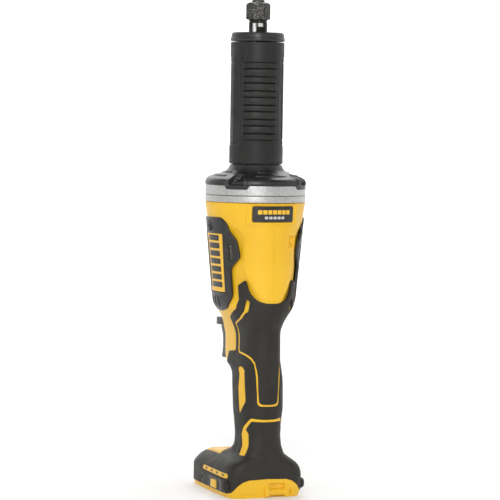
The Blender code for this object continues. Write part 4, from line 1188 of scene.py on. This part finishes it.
def controls():
    """Trigger with a ribbed finger face, and the push-through lock button."""
    front = [(-42.0, 105.4), (-43.3, 106.4), (-43.0, 108.0)]
    for k in range(6):
        z = 109.2 + 2.7 * k
        depth = -42.3 + 1.0 * math.sin((z - 109) / 14.5 * math.pi)
        front += [(depth, z), (depth + 0.55, z + 0.7), (depth + 0.55, z + 1.1), (depth, z + 1.8)]
    front += [(-43.6, 127.0), (-45.5, 130.0), (-45.3, 131.1)]
    outline = [(-29, 105.4), *front, (-29, 131.1)]
    block("finger_trigger", outline, -9.15, 9.15, BLACK, 0.45, "trigger", ["trigger"], "black_plastic", 3)
    outline = [(-30, 132.0), (-49.0, 132.0), (-49.4, 132.5), (-49.4, 133.5), (-48.8, 133.9), (-49.4, 134.3),
               (-49.4, 135.9), (-48.8, 136.3), (-49.4, 136.7), (-49.4, 137.6), (-49.0, 138.1), (-30, 138.1)]
    block("lock_key", outline, -11.95, 11.95, BLACK, 0.4, "lock_button", ["lock_button"], "black_plastic", 3)
    coil("trigger_coil", -28.6, -19.9, 118, 3.2, 0.4, "trigger_spring")
    coil("lock_coil", -29.6, -19.9, 135, 2.2, 0.35, "lock_spring")


def coil(name, start, end, height, radius, wire, node):
    """Return spring along y, built at one length; on the tool it shortens as its control is pressed. Its end
    turns lie closed.
    """
    round_count, steps, sides = 4.5, 28, 8
    count = int(round_count * steps)
    verts = []
    for k in range(count + 1):
        t = k / count
        climb = float(np.interp(t, (0, 0.14, 0.86, 1), (0, 0.07, 0.93, 1)))
        a = 2 * math.pi * round_count * t
        for b in turns(sides):
            reach = radius + wire * math.cos(b)
            verts.append((reach * math.cos(a), start + (end - start) * climb + wire * math.sin(b),
                          height + reach * math.sin(a)))
    piece = put(name, verts, tube_faces(count + 1, sides), POLISHED, stands_for=[node], slot="steel")
    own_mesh(piece)


WINDOW = moulded("smoked_window", (0.05, 0.042, 0.032), (0.075, 0.06, 0.045), (0.1, 0.09, 0.07), (0.2, 0.35),
                 2.4, 0.01)


# Stage
def stage():
    """A pale round sweep, soft studio lights and the camera."""
    floor, bend, top = 2600.0, 1400.0, 5000.0
    profile = [(floor, 0.0)]
    for a in np.linspace(0.1, math.pi / 2, 12):
        profile.append((floor + bend * math.sin(a), bend - bend * math.cos(a)))
    profile.append((floor + bend, top))
    shape = bmesh.new()
    rings = [[shape.verts.new((r * MM * math.sin(a), r * MM * math.cos(a), z * MM)) for a in turns(64)]
             for r, z in profile]
    centre = shape.verts.new((0, 0, 0))
    for k in range(64):
        n = (k + 1) % 64
        shape.faces.new((centre, rings[0][n], rings[0][k]))
        for low, high in zip(rings, rings[1:]):
            shape.faces.new((low[k], low[n], high[n], high[k]))
    look = Look("pale_floor", 0.8, Base_Color=(0.9, 0.9, 0.9, 1), Emission_Color=(1, 1, 1, 1),
                Emission_Strength=GLOW)
    data = to_data("sweep", shape)
    data.materials.append(look.material)
    linked("sweep", data)

    world = bpy.data.worlds.new("studio")
    bpy.context.scene.world = world
    world.use_nodes = True
    background = world.node_tree.nodes["Background"]
    background.inputs["Color"].default_value = (1, 1, 1, 1)
    background.inputs["Strength"].default_value = 0.03

    target = AXIS + Vector((0, 0, AIM_Z * MM))
    for name, azimuth, elevation, distance, size, power, beyond in LIGHTS:
        light = bpy.data.lights.new(name, "AREA")
        light.shape = "RECTANGLE"
        light.size, light.size_y = size
        light.energy = power
        aim(linked(name, light), target + direction(azimuth, elevation) * distance,
            target - direction(CAMERA_AZIMUTH, 0) * beyond)

    view = bpy.data.cameras.new("camera")
    view.sensor_width = 36.0
    view.lens = CAMERA_LENS
    view.shift_x, view.shift_y = CAMERA_SHIFT
    view.clip_start, view.clip_end = 0.05, 50
    camera = linked("camera", view)
    aim(camera, AXIS + direction(CAMERA_AZIMUTH, 0) * CAMERA_DISTANCE + Vector((0, 0, CAMERA_HEIGHT)), target,
        CAMERA_ROLL)
    bpy.context.scene.camera = camera
    bpy.context.scene.view_settings.view_transform = "Standard"


def aim(thing, place, target, roll=0):
    """Puts a light or the camera at its place, looking at the target."""
    thing.location = place
    thing.rotation_mode = "QUATERNION"
    turn = (target - thing.location).to_track_quat("-Z", "Y")
    thing.rotation_quaternion = turn @ Quaternion((0, 0, 1), math.radians(roll)) if roll else turn


def direction(azimuth, elevation):
    """Unit vector towards an azimuth that is 0 in front of the trigger and 90 on the left side."""
    a, e = math.radians(azimuth), math.radians(elevation)
    return Vector((math.sin(a) * math.cos(e), -math.cos(a) * math.cos(e), math.sin(e)))


CAMERA_AZIMUTH, CAMERA_DISTANCE, CAMERA_HEIGHT, AIM_Z = 157.0, 2.05, 0.315, 195.0
CAMERA_LENS, CAMERA_SHIFT, CAMERA_ROLL = 184.1, (-0.0088, 0.0010), 0.93
GLOW = 0.12
# name, azimuth, elevation, distance, size, power, and how far beyond the tool it aims
LIGHTS = [
    ("key", 156, 26, 2.2, (0.6, 1.5), 20, 0),
    ("second", 108, 22, 2.2, (0.45, 1.5), 0.8, 0),
    ("rim", 262, 20, 2.2, (0.4, 1.8), 0.8, 0),
    ("front", 20, 30, 2.4, (1.4, 1.4), 2, 0),
    ("top", 170, 80, 1.6, (0.9, 0.9), 1.6, 0),
    ("backdrop", 337, 48, 4.2, (3.0, 1.0), 95, 3.4),
]

for make in (housings, grips, panels, back_label, foot_details, working_end, grip_sleeve, flange, rings,
             controls):
    make()
stage()
